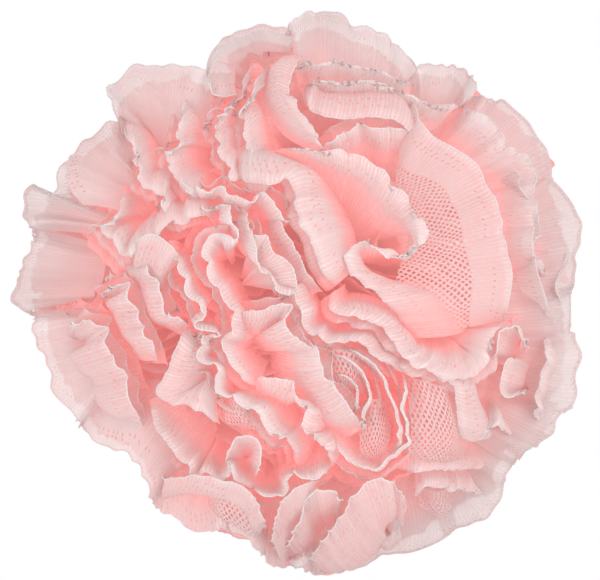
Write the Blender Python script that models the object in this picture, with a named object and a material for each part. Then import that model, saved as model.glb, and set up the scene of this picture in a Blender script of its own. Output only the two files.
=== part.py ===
"""Mesh bath pouf: one long lace strip drawn up on a knotted cord, so that it springs open as a ball of ruffles.

Metres, +Z up. The origin is on the surface that the pouf rests on, under the middle of the ball.
The front of the ball, with the whorl where the strip begins, faces -Y and upwards.
"""

import math

import bmesh
import bpy
from mathutils import Matrix, Vector

# The ball that the ruffles' free edges fill, before its underside flattens on the surface.
BALL_WIDTH = 0.130
BALL_DEPTH = 0.126
BALL_HEIGHT = 0.126
FOOT_WIDTH = 0.050
FLAT_TOLERANCE = 1e-7

# The lace strip: its wall as thick as the bunched yarn, squeezed where it is drawn up, and its winding.
STRIP_THICKNESS = 0.0009
ROOT_THICKNESS = 0.0005
RUFFLE_PITCH = 0.0118
COLUMN_PITCH = 0.0065
NET_SHARE = 0.55

# Where the strip's first turn faces, as seen from the middle of the ball.
WHORL_TURN_DEG = -12.0
WHORL_RISE_DEG = 32.0

# Folds that sway whole groups of turns, down to the core, and the frill that grows towards the free edge.
FOLD_SWAY = 0.017
FOLD_LENGTH = 0.095
FOLD_AT_CORE = 0.3
FRILL_SWAY = 0.0040
FRILL_LENGTH = 0.026
FRILL_GROWTH = 1.5

# Each fold and frill runs round an axis through the ball's middle: the axis, its wave's stretch and its phase.
FOLDS = (
    (Vector((0.82, 0.10, 0.56)), 1.00, 0.4),
    (Vector((-0.35, 0.30, 0.89)), 0.85, 2.1),
    (Vector((0.30, 0.93, -0.20)), 0.90, 4.4),
)
FRILLS = (
    (Vector((0.10, 0.55, 0.83)), 1.00, 1.3),
    (Vector((0.95, -0.20, 0.25)), 1.15, 0.2),
)

# Shallow lobes in the outline of the free edge.
LOBE_DEPTH = 0.0035
LOBE_LENGTH = 0.047

# Places where the ball sags between its fuller sides: turn and rise as seen from its middle, spread and depth.
SAGS = (
    (-159, -24, 24, 0.0065),
    (148, 50, 22, 0.0060),
    (51, 55, 14, 0.0035),
    (-154, 26, 13, 0.0035),
    (-20, 21, 11, 0.0030),
)

# The drawn-up middle of the strip and the cord inside it, with its knot and two cut ends.
CORE_DIAMETER = 0.016
CORD_DIAMETER = 0.0025
CORD_CLEARANCE = 0.0003
KNOT_LENGTH = 0.0060
KNOT_DIAMETER = 0.0045
TAIL_DIAMETER = 0.0020
TAIL_LENGTH = 0.0048
TAIL_SWINGS_DEG = {"left_end_shape": 145, "right_end_shape": 35}
RING_STEPS = 28
CORD_SIDES = 8
KNOT_STEPS = 12

LACE_COLOUR = (0.93, 0.62, 0.62, 1.0)
LACE_ROUGHNESS = 0.85
CORD_COLOUR = (0.95, 0.80, 0.79, 1.0)
CORD_ROUGHNESS = 0.8

MEAN_RADIUS = (BALL_WIDTH + BALL_DEPTH + BALL_HEIGHT) / 6
CORE_RADIUS = CORE_DIAMETER / 2
FOOT_SLOPE = FOOT_WIDTH / BALL_WIDTH
CENTRE_HEIGHT = BALL_HEIGHT / 2 * math.sqrt(1 - FOOT_SLOPE**2)
PITCH_ANGLE = RUFFLE_PITCH / MEAN_RADIUS
LAY = (
    Matrix.Rotation(math.radians(WHORL_TURN_DEG), 3, "Z")
    @ Matrix.Rotation(math.radians(90 - WHORL_RISE_DEG), 3, "X")
)


def clear_scene():
    """Removes what a new file holds, so that only the pouf is left."""
    for item in list(bpy.data.objects):
        bpy.data.objects.remove(item)


def plain_material(name, colour, roughness):
    """A matt material of one colour."""
    material = bpy.data.materials.new(name)
    material.use_nodes = True
    shader = material.node_tree.nodes["Principled BSDF"]
    shader.inputs["Base Color"].default_value = colour
    shader.inputs["Roughness"].default_value = roughness
    shader.inputs["Metallic"].default_value = 0.0
    return material


def wound_direction(share):
    """Where the strip points at a share of its length, wound evenly from one pole of the ball to the other."""
    colatitude = math.acos(math.cos(PITCH_ANGLE / 2) * (1 - 2 * share))
    turn = 2 * math.pi * colatitude / PITCH_ANGLE
    ring = math.sin(colatitude)
    return LAY @ Vector((ring * math.cos(turn), ring * math.sin(turn), math.cos(colatitude)))


def swirl(direction, axis, sway, wave, phase):
    """Turns a direction about an axis by a wave of its height along that axis.

    Every level turns as a whole, so neighbouring turns of the strip never meet.
    """
    level = direction.dot(axis)
    angle = sway / MEAN_RADIUS * math.sin(2 * math.pi * MEAN_RADIUS / wave * level + phase)
    return Matrix.Rotation(angle, 3, axis) @ direction


def swayed(direction, reach):
    """Where a point of the strip points to, at reach 0 on the core and 1 on the free edge."""
    fold_sway = FOLD_SWAY * (FOLD_AT_CORE + (1 - FOLD_AT_CORE) * reach)
    frill_sway = FRILL_SWAY * reach**FRILL_GROWTH
    for axis, stretch, phase in FOLDS:
        direction = swirl(direction, axis.normalized(), fold_sway, FOLD_LENGTH * stretch, phase)
    for axis, stretch, phase in FRILLS:
        direction = swirl(direction, axis.normalized(), frill_sway, FRILL_LENGTH * stretch, phase)
    return direction


def sag_depth(direction):
    """How far the ball sags in a direction."""
    depth = 0.0
    for turn_deg, rise_deg, spread_deg, full_depth in SAGS:
        turn, rise = math.radians(turn_deg), math.radians(rise_deg)
        centre = Vector((math.cos(rise) * math.cos(turn), math.cos(rise) * math.sin(turn), math.sin(rise)))
        depth += full_depth * math.exp(-((direction.angle(centre) / math.radians(spread_deg)) ** 2))
    return depth


def edge_radius(direction, along):
    """How far the free edge stands from the middle of the ball, with its lobes, sags and the flattened underside."""
    scaled = Vector((direction.x / BALL_WIDTH, direction.y / BALL_DEPTH, direction.z / BALL_HEIGHT))
    dip = (1 - math.sin(2 * math.pi * along / LOBE_LENGTH)) / 2
    radius = 1 / (2 * scaled.length) - LOBE_DEPTH * dip - sag_depth(direction)
    if direction.z < 0:
        radius = min(radius, CENTRE_HEIGHT / -direction.z)
    return radius


def strip_point(direction, reach, along):
    """A point of the strip: reach 0 is on the core and 1 on the free edge."""
    edge = edge_radius(direction, along)
    point = direction * (CORE_RADIUS + reach * (edge - CORE_RADIUS))
    if point.z < FLAT_TOLERANCE - CENTRE_HEIGHT:
        point.z = -CENTRE_HEIGHT
    return point


def column_shares():
    """Shares of the strip's length at which its free edge, once swayed, has gone another COLUMN_PITCH."""
    unswayed_length = 4 * math.pi * MEAN_RADIUS**2 / RUFFLE_PITCH
    fine = round(2 * unswayed_length / COLUMN_PITCH)
    shares = [i / fine for i in range(fine + 1)]
    edge = [swayed(wound_direction(share), 1) * MEAN_RADIUS for share in shares]
    gone = [0.0]
    for here, ahead in zip(edge, edge[1:]):
        gone.append(gone[-1] + (ahead - here).length)
    count = round(gone[-1] / COLUMN_PITCH)
    chosen, k = [], 0
    for i in range(count + 1):
        wanted = gone[-1] * i / count
        while k < fine - 1 and gone[k + 1] < wanted:
            k += 1
        chosen.append(shares[k] + (wanted - gone[k]) / (gone[k + 1] - gone[k]) / fine)
    return chosen


def strip_columns():
    """For each column across the strip, its two faces as rows of points from the core to the free edge."""
    base = [wound_direction(share) for share in column_shares()]
    rows = (0.0, NET_SHARE, 1.0)
    walls = (ROOT_THICKNESS, STRIP_THICKNESS, STRIP_THICKNESS)
    paths = [[swayed(direction, reach) for direction in base] for reach in rows]
    columns = []
    for i in range(len(base)):
        left, right = [], []
        for reach, wall, path in zip(rows, walls, paths):
            ahead = path[min(i + 1, len(path) - 1)] - path[max(i - 1, 0)]
            side = ahead.cross(path[i]).normalized()
            radius = CORE_RADIUS + reach * (MEAN_RADIUS - CORE_RADIUS)
            shift = side * (wall / 2 / radius)
            along = i * COLUMN_PITCH
            left.append(strip_point((path[i] - shift).normalized(), reach, along))
            right.append(strip_point((path[i] + shift).normalized(), reach, along))
        columns.append(left + right[::-1])
    return columns


def wall_faces(here, ahead):
    """Faces from one column to the next, with both faces of the wall cut along the same diagonal."""
    half = len(here) // 2
    faces = []
    for k in range(len(here)):
        after = (k + 1) % len(here)
        if k < half - 1:
            faces.append((here[k], here[after], ahead[after]))
            faces.append((here[k], ahead[after], ahead[k]))
        elif half <= k < len(here) - 1:
            faces.append((here[k], here[after], ahead[k]))
            faces.append((here[after], ahead[after], ahead[k]))
        else:
            faces.append((here[k], here[after], ahead[after], ahead[k]))
    return faces


def lace_strip(material):
    """The whole gathered strip as one closed wall, lofted from column to column."""
    mesh = bpy.data.meshes.new("lace_strip")
    shape = bmesh.new()
    loops = [[shape.verts.new(point) for point in column] for column in strip_columns()]
    for here, ahead in zip(loops, loops[1:]):
        for face in wall_faces(here, ahead):
            shape.faces.new(face)
    shape.faces.new(loops[0][::-1])
    shape.faces.new(loops[-1])
    bmesh.ops.recalc_face_normals(shape, faces=shape.faces)
    shape.to_mesh(mesh)
    shape.free()
    mesh.materials.append(material)
    mesh.shade_smooth()
    strip = bpy.data.objects.new("lace_strip", mesh)
    bpy.context.scene.collection.objects.link(strip)
    return strip


def turned_bead(name, length, diameter):
    """A round bead with rounded ends, lying along X."""
    mesh = bpy.data.meshes.new(name)
    shape = bmesh.new()
    bmesh.ops.create_uvsphere(shape, u_segments=KNOT_STEPS, v_segments=CORD_SIDES, radius=diameter / 2)
    bmesh.ops.rotate(shape, verts=shape.verts, matrix=Matrix.Rotation(math.pi / 2, 3, "Y"))
    bmesh.ops.scale(shape, verts=shape.verts, vec=(length / diameter, 1, 1))
    shape.to_mesh(mesh)
    shape.free()
    bead = bpy.data.objects.new(name, mesh)
    bpy.context.scene.collection.objects.link(bead)
    return bead


def cut_end(name, length, diameter):
    """A straight end of cord, lying along X from the origin."""
    mesh = bpy.data.meshes.new(name)
    shape = bmesh.new()
    bmesh.ops.create_cone(
        shape, cap_ends=True, segments=CORD_SIDES, radius1=diameter / 2, radius2=diameter / 2, depth=length
    )
    bmesh.ops.translate(shape, verts=shape.verts, vec=(0, 0, length / 2))
    bmesh.ops.rotate(shape, verts=shape.verts, matrix=Matrix.Rotation(math.pi / 2, 3, "Y"))
    shape.to_mesh(mesh)
    shape.free()
    end = bpy.data.objects.new(name, mesh)
    bpy.context.scene.collection.objects.link(end)
    return end


def join_into(body, tool):
    """Adds a Boolean union of tool to body, and hides the tool."""
    union = body.modifiers.new(tool.name, "BOOLEAN")
    union.operation = "UNION"
    union.solver = "EXACT"
    union.object = tool
    tool.hide_render = True
    tool.display_type = "WIRE"
    tool.parent = body


def gathering_cord(material):
    """The cord ring that the strip's middle is drawn up on, with its knot and two cut ends inside the ring."""
    ring_radius = CORE_RADIUS - CORD_CLEARANCE - CORD_DIAMETER / 2
    bpy.ops.mesh.primitive_torus_add(
        major_segments=RING_STEPS,
        minor_segments=CORD_SIDES,
        major_radius=ring_radius,
        minor_radius=CORD_DIAMETER / 2,
    )
    ring = bpy.context.object
    ring.name = "gathering_cord"
    ring.data.name = "gathering_cord"
    ring.data.materials.append(material)
    ring.data.shade_smooth()
    knot_sink = (KNOT_DIAMETER - CORD_DIAMETER) / 2
    knot = turned_bead("knot_shape", KNOT_LENGTH, KNOT_DIAMETER)
    knot.location = (0, ring_radius - knot_sink, 0)
    join_into(ring, knot)
    for name, swing in TAIL_SWINGS_DEG.items():
        end = cut_end(name, TAIL_LENGTH, TAIL_DIAMETER)
        end.location = knot.location
        end.rotation_euler = (0, 0, -math.radians(swing))
        join_into(ring, end)
    return ring


def main():
    """Builds the strip and its cord, and sets the pouf down with its box centred over the origin."""
    clear_scene()
    strip = lace_strip(plain_material("lace", LACE_COLOUR, LACE_ROUGHNESS))
    cord = gathering_cord(plain_material("cord", CORD_COLOUR, CORD_ROUGHNESS))
    middle = bpy.data.objects.new("pouf", None)
    bpy.context.scene.collection.objects.link(middle)
    strip.parent = middle
    cord.parent = middle
    xs = [vertex.co.x for vertex in strip.data.vertices]
    ys = [vertex.co.y for vertex in strip.data.vertices]
    middle.location = (-(min(xs) + max(xs)) / 2, -(min(ys) + max(ys)) / 2, CENTRE_HEIGHT)


main()
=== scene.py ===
"""Looks of the mesh bath pouf: knitted lace ruffles packed into a ball, its gathering cord, lamps and camera.

Lengths are metres unless a name ends in _MM or _PX or its class says millimetres. Pixels are those of the
600 x 580 photograph.
"""

import logging
import math
from dataclasses import dataclass
from enum import Enum
from typing import Any, Union

import bpy
import numpy as np
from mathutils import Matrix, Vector

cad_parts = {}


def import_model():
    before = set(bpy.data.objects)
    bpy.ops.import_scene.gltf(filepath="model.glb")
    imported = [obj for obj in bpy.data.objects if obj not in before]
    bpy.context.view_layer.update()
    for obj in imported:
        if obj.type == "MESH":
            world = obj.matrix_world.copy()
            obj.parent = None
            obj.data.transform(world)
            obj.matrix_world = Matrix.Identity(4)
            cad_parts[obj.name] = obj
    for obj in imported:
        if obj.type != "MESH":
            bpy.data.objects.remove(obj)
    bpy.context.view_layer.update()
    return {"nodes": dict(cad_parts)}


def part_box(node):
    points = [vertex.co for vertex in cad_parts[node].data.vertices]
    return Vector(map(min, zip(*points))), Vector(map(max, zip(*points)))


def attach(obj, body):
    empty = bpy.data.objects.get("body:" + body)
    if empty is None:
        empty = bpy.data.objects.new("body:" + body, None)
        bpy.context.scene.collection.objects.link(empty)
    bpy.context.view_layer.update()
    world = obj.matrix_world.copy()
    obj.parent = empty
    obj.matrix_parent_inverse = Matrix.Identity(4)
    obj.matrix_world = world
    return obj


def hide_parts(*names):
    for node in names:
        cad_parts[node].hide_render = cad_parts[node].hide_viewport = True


LOG = logging.getLogger("pouf")

# The photograph's frame and where the ball lies in it.
IMAGE_WIDTH_PX = 600
IMAGE_HEIGHT_PX = 580
BALL_MIDDLE_PX = (297.0, 292.0)
BALL_RADIUS_PX = 281.0

# The camera looks down on the front of the ball from a distance, through a long lens.
CAMERA_RISE_DEG = 33.0
CAMERA_DISTANCE = 0.95
SENSOR_WIDTH_MM = 36.0

# The lace: widths measured from its free edge, in millimetres.
SELVEDGE_RADIUS_MM = 0.11
PICOT_PITCH_MM = 1.15
PICOT_LIFT_MM = 0.14
BORDER_WIDTH_MM = 13.0

# Rows of a sheet crowd towards its free edge with this power, and the edge rolls back by this much.
ROW_CROWDING = 1.5
LIP_ROLL_MM = 0.55
LIP_WIDTH_MM = 1.3

# Painted shade: the colour deepens from the outside of the ball to this share of its radius.
LIT_SHARE = 0.985
DEEP_SHARE = 0.86

# Waves of an edge drift by longer ones, and the height of its ripples swells: stretch and depth of each.
WAVE_DRIFTS = ((3.3, 1.1), (7.9, 1.9))
HEIGHT_MEAN = 0.82
HEIGHT_SWELLS = ((4.7, 0.30), (2.6, 0.18))

# A ripple also nods up and down along its sheet, by this share of its height and at this phase.
NOD_SHARE = 0.20
NOD_PHASE = 0.8

# A ruffle is a loop if its ends lie closer than this share of its length. Loops up to the first length have
# no fold behind them, and ruffles up to the second have one.
LOOP_REACH = 0.45
LOOP_LENGTH_PX = 200.0
SHORT_LENGTH_PX = 130.0

# The bead that lies where the open net is cut off, as a share of the full one.
NET_BEAD = 0.2

# Distance between the columns of the long strip.
COLUMN_SPACING = 0.0007

# A colour is red, green, blue and opacity, and a node's input takes an output, a number or a colour.
Colour = tuple[float, float, float, float]
Socket = bpy.types.NodeSocket
Input = Union[float, Colour, Socket]
WHITE: Colour = (1.0, 1.0, 1.0, 1.0)


class Fabric(Enum):
    """What a ruffle shows of the lace."""

    BORDER = "dense border"
    WIDE = "border and the net beyond it"
    NET = "open net alone"


@dataclass(frozen=True)
class Ball:
    """The ball that the ruffles fill: its middle and its mean radius."""

    middle: np.ndarray
    radius: float


@dataclass(frozen=True)
class Frill:
    """How a sheet ripples towards its free edge.

    Args:
        height: half the height of the ripples at the free edge.
        length: mean length of one ripple along the edge.
        curl: how far the ripples lean over along the edge, as a share of their height.
        growth: power with which the ripples grow from the root to the edge.
    """

    height: float
    length: float
    curl: float
    growth: float


@dataclass
class Sheet:
    """One stretch of lace as a grid of points, root row first and free edge last, with lace coordinates.

    Args:
        points: array of rows x columns x 3.
        along: arc length of each column at the free edge.
        inward: distance of each point from the free edge, rows x columns.
        bead: thickness of the edge's bead at each column, as a share of the full one.
        buried: how deep between its neighbours each point lies, 0 to 1; it sets the painted shade there.
    """

    points: np.ndarray
    along: np.ndarray
    inward: np.ndarray
    bead: np.ndarray
    buried: np.ndarray


def unit(vectors: np.ndarray) -> np.ndarray:
    """Returns the vectors scaled to length one."""
    return vectors / np.maximum(np.linalg.norm(vectors, axis=-1, keepdims=True), 1e-12)


def smooth_wave(along: np.ndarray, length: float, rng: np.random.Generator) -> np.ndarray:
    """Lays an uneven wave along an edge.

    Args:
        along: arc lengths.
        length: mean wavelength.
        rng: seeded generator that sets the unevenness.

    Returns:
        The phase at each arc length.
    """
    phase = 2 * np.pi * along / length + rng.uniform(0, 2 * np.pi)
    for stretch, depth in WAVE_DRIFTS:
        phase = phase + depth * np.sin(2 * np.pi * along / (length * stretch) + rng.uniform(0, 2 * np.pi))
    return phase


def uneven_height(along: np.ndarray, length: float, rng: np.random.Generator) -> np.ndarray:
    """Lays slow swells along an edge.

    Args:
        along: arc lengths.
        length: mean length of the ripples that swell.
        rng: seeded generator that sets the unevenness.

    Returns:
        A factor between about 0.35 and 1.3 at each arc length.
    """
    height = HEIGHT_MEAN
    for stretch, depth in HEIGHT_SWELLS:
        height = height + depth * np.sin(2 * np.pi * along / (length * stretch) + rng.uniform(0, 2 * np.pi))
    return height


def arc_lengths(points: np.ndarray) -> np.ndarray:
    """Returns the running length along a line of points."""
    steps = np.linalg.norm(np.diff(points, axis=0), axis=1)
    return np.concatenate([[0.0], np.cumsum(steps)])


def resampled(points: np.ndarray, spacing: float, partner: np.ndarray) -> tuple[np.ndarray, np.ndarray]:
    """Places points evenly along a line, and its partner line at the same shares.

    Args:
        points: the line that sets the spacing.
        spacing: wanted distance between points.
        partner: a second line with as many points.

    Returns:
        Both lines with the new number of points.
    """
    gone = arc_lengths(points)
    count = max(int(round(gone[-1] / spacing)), 4)
    wanted = np.linspace(0, gone[-1], count + 1)
    first = np.stack([np.interp(wanted, gone, points[:, k]) for k in range(3)], axis=1)
    second = np.stack([np.interp(wanted, gone, partner[:, k]) for k in range(3)], axis=1)
    return first, second


def curve_through(knots: np.ndarray, per_span: int = 24) -> np.ndarray:
    """Draws a smooth centripetal Catmull-Rom curve.

    Args:
        knots: the points that it passes through.
        per_span: how many points it has from one knot to the next.

    Returns:
        The points of the curve.
    """
    padded = np.vstack([2 * knots[0] - knots[1], knots, 2 * knots[-1] - knots[-2]])
    share = np.linspace(0, 1, per_span, endpoint=False)[:, None]
    pieces = []
    for k in range(1, len(padded) - 2):
        before, here, ahead, beyond = padded[k - 1 : k + 3]
        times = [0.0]
        for a, b in ((before, here), (here, ahead), (ahead, beyond)):
            times.append(times[-1] + max(np.linalg.norm(b - a) ** 0.5, 1e-9))
        t1, t2, t3 = times[1:]
        t = t1 + share * (t2 - t1)
        low = (t1 - t) / t1 * before + t / t1 * here
        mid = (t2 - t) / (t2 - t1) * here + (t - t1) / (t2 - t1) * ahead
        high = (t3 - t) / (t3 - t2) * ahead + (t - t2) / (t3 - t2) * beyond
        left = (t2 - t) / t2 * low + t / t2 * mid
        right = (t3 - t) / (t3 - t1) * mid + (t - t1) / (t3 - t1) * high
        pieces.append((t2 - t) / (t2 - t1) * left + (t - t1) / (t2 - t1) * right)
    pieces.append(knots[-1:])
    return np.vstack(pieces)


class PhotoView:
    """The camera's view of the ball, for placing pieces where the photograph shows them."""

    def __init__(self, ball: Ball) -> None:
        """Places the eye.

        Args:
            ball: the ball that the view is centred on.
        """
        rise = math.radians(CAMERA_RISE_DEG)
        self.ball = ball
        self.right = np.array([1.0, 0.0, 0.0])
        self.toward = np.array([0.0, -math.cos(rise), math.sin(rise)])
        self.up = np.array([0.0, math.sin(rise), math.cos(rise)])
        self.eye = ball.middle + CAMERA_DISTANCE * self.toward
        spread = math.asin(ball.radius / CAMERA_DISTANCE)
        self.focal_px = BALL_RADIUS_PX / math.tan(spread)

    def ball_point(self, pixel: tuple[float, float], share: float) -> np.ndarray:
        """Finds what a pixel shows.

        Args:
            pixel: the pixel.
            share: size of the ball that it is looked for on, as a share of the full radius.

        Returns:
            The point on that ball, or beside it at mid depth where the pixel misses it.
        """
        across = pixel[0] - BALL_MIDDLE_PX[0]
        upward = BALL_MIDDLE_PX[1] - pixel[1]
        ray = unit(self.right * across + self.up * upward - self.toward * self.focal_px)
        offset = self.eye - self.ball.middle
        middle_way = -ray @ offset
        closest = offset + middle_way * ray
        room = (share * self.ball.radius) ** 2 - closest @ closest
        if room <= 0:
            return self.ball.middle + closest
        return self.ball.middle + closest - math.sqrt(room) * ray

    def inside_outline(self, points: np.ndarray, outline: np.ndarray) -> np.ndarray:
        """Keeps points inside an outline.

        Args:
            points: points seen from the middle of the ball.
            outline: pixels round the ball's outline.

        Returns:
            The factor on each point's distance from the middle, 1 where it lies inside already.
        """
        away = CAMERA_DISTANCE - points @ self.toward
        across = points @ self.right * self.focal_px / away
        upward = points @ self.up * self.focal_px / away
        wanted = outline - np.array(BALL_MIDDLE_PX)
        turns = np.arctan2(-wanted[:, 1], wanted[:, 0])
        order = np.argsort(turns)
        widths = np.hypot(wanted[order, 0], wanted[order, 1])
        room = np.interp(np.arctan2(upward, across), turns[order], widths, period=2 * np.pi)
        return np.minimum(room / np.maximum(np.hypot(across, upward), 1.0), 1.0)

    def place_camera(self) -> None:
        """Adds the camera and makes it the scene's own."""
        data = bpy.data.cameras.new("camera")
        data.sensor_width = SENSOR_WIDTH_MM
        data.lens = self.focal_px / IMAGE_WIDTH_PX * SENSOR_WIDTH_MM
        data.shift_x = (IMAGE_WIDTH_PX / 2 - BALL_MIDDLE_PX[0]) / IMAGE_WIDTH_PX
        data.shift_y = (BALL_MIDDLE_PX[1] - IMAGE_HEIGHT_PX / 2) / IMAGE_WIDTH_PX
        data.clip_start = 0.01
        camera = bpy.data.objects.new("camera", data)
        camera.location = self.eye
        camera.rotation_euler = (math.radians(90 - CAMERA_RISE_DEG), 0.0, 0.0)
        bpy.context.scene.collection.objects.link(camera)
        bpy.context.scene.camera = camera


def row_shares(rows: int) -> np.ndarray:
    """Returns where the rows of a sheet lie, 0 at its root and 1 at its free edge, as a column of rows."""
    return (1 - (1 - np.linspace(0, 1, rows)) ** ROW_CROWDING)[:, None, None]


def frilled(
    points: np.ndarray,
    along: np.ndarray,
    frills: tuple[Frill, ...],
    seed: int,
    calm: Union[float, np.ndarray],
) -> np.ndarray:
    """Ripples a grid of points towards its free edge.

    Args:
        points: rows x columns x 3, free edge last.
        along: arc length of each column.
        frills: the ripples to add, coarse first.
        seed: sets their unevenness.
        calm: factor on their height, one number or one for each column.

    Returns:
        The rippled grid.
    """
    rng = np.random.default_rng(seed)
    share = row_shares(points.shape[0])
    for frill in frills:
        forward = unit(np.gradient(points, axis=1))
        outward = unit(np.gradient(points, axis=0))
        normal = unit(np.cross(forward, outward))
        phase = smooth_wave(along, frill.length, rng)
        height = calm * frill.height * uneven_height(along, frill.length, rng)
        grown = share**frill.growth
        ends = np.clip(np.minimum(along, along[-1] - along) / (2 * frill.length), 0, 1)
        lift = (height * ends * np.sin(phase))[None, :, None] * grown
        lean = (height * ends * frill.curl * np.sin(2 * phase))[None, :, None] * grown
        rise = (NOD_SHARE * height * ends * np.cos(phase + NOD_PHASE))[None, :, None] * grown
        points = points + normal * lift + forward * lean + outward * rise
    return points


def lofted(rim: np.ndarray, root: np.ndarray, bulge: np.ndarray, rows: int) -> np.ndarray:
    """Lays a sheet between two lines.

    Args:
        rim: its free edge.
        root: its root.
        bulge: how it bows out at its middle, one vector for each column.
        rows: how many rows it has.

    Returns:
        Its points, root row first.
    """
    share = row_shares(rows)
    straight = root[None] * (1 - share) + rim[None] * share
    return straight + bulge[None] * (4 * share * (1 - share))


def inward_lengths(points: np.ndarray) -> np.ndarray:
    """Returns how far each point of a grid lies from its free edge, along its column."""
    steps = np.linalg.norm(np.diff(points, axis=0), axis=2)
    return np.vstack([np.cumsum(steps[::-1], axis=0)[::-1], np.zeros((1, points.shape[1]))])


def rolled(points: np.ndarray) -> np.ndarray:
    """Rolls the free edge of a sheet back a little, away from the side it shows.

    Args:
        points: rows x columns x 3, free edge last.

    Returns:
        The points with the edge rolled.
    """
    near = np.clip(1 - inward_lengths(points) * 1000 / LIP_WIDTH_MM, 0, 1)[..., None]
    normal = unit(np.cross(unit(np.gradient(points, axis=1)), unit(np.gradient(points, axis=0))))
    return points + normal * near**2 * (LIP_ROLL_MM / 1000)


def finished_sheet(points: np.ndarray) -> Sheet:
    """Measures a grid of points along its free edge and inward from it.

    Args:
        points: rows x columns x 3, free edge last.

    Returns:
        The sheet, with a full bead and not buried.
    """
    along = arc_lengths(points[-1])
    inward = inward_lengths(points)
    return Sheet(points, along, inward, bead=np.ones_like(along), buried=np.zeros_like(inward))


@dataclass(frozen=True)
class Ruffle:
    """A ruffle placed by the photograph.

    Args:
        name: where it is, in plain words; it is not used.
        rim: pixels that its free edge passes through.
        face: pixels from the rim to its root, for each rim pixel.
        sink: how far out the root stands, as a share of the ball's radius.
        rise: how far out the rim stands.
        bow: how far the sheet bows out between root and rim, as a share of its width.
        fabric: what it shows of the lace.
        calm: factor on the height of its ripples.
        behind: the most folds that lie behind it.
        deeper: how much of the deep colour, which is painted shade, it has already at its free edge, 0 to 1.
    """

    name: str
    rim: tuple[tuple[float, float], ...]
    face: tuple[tuple[float, float], ...]
    sink: float
    rise: float = 1.0
    bow: float = 0.18
    fabric: Fabric = Fabric.BORDER
    calm: float = 1.0
    behind: int = 2
    deeper: float = 0.0

    @property
    def bead(self) -> float:
        """Thickness of its edge's bead, as a share of the full one."""
        return NET_BEAD if self.fabric is Fabric.NET else 1.0

    @property
    def folds_behind(self) -> int:
        """Counts the folds that lie behind it.

        Returns:
            None behind a small loop, one behind a short ruffle, or else two, and no more than it is given.
        """
        rim = np.array(self.rim)
        length = np.linalg.norm(np.diff(rim, axis=0), axis=1).sum()
        reach = np.linalg.norm(rim[-1] - rim[0])
        if reach < LOOP_REACH * length and length < LOOP_LENGTH_PX:
            return 0
        return min(self.behind, 1 if length < SHORT_LENGTH_PX else 2)


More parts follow.
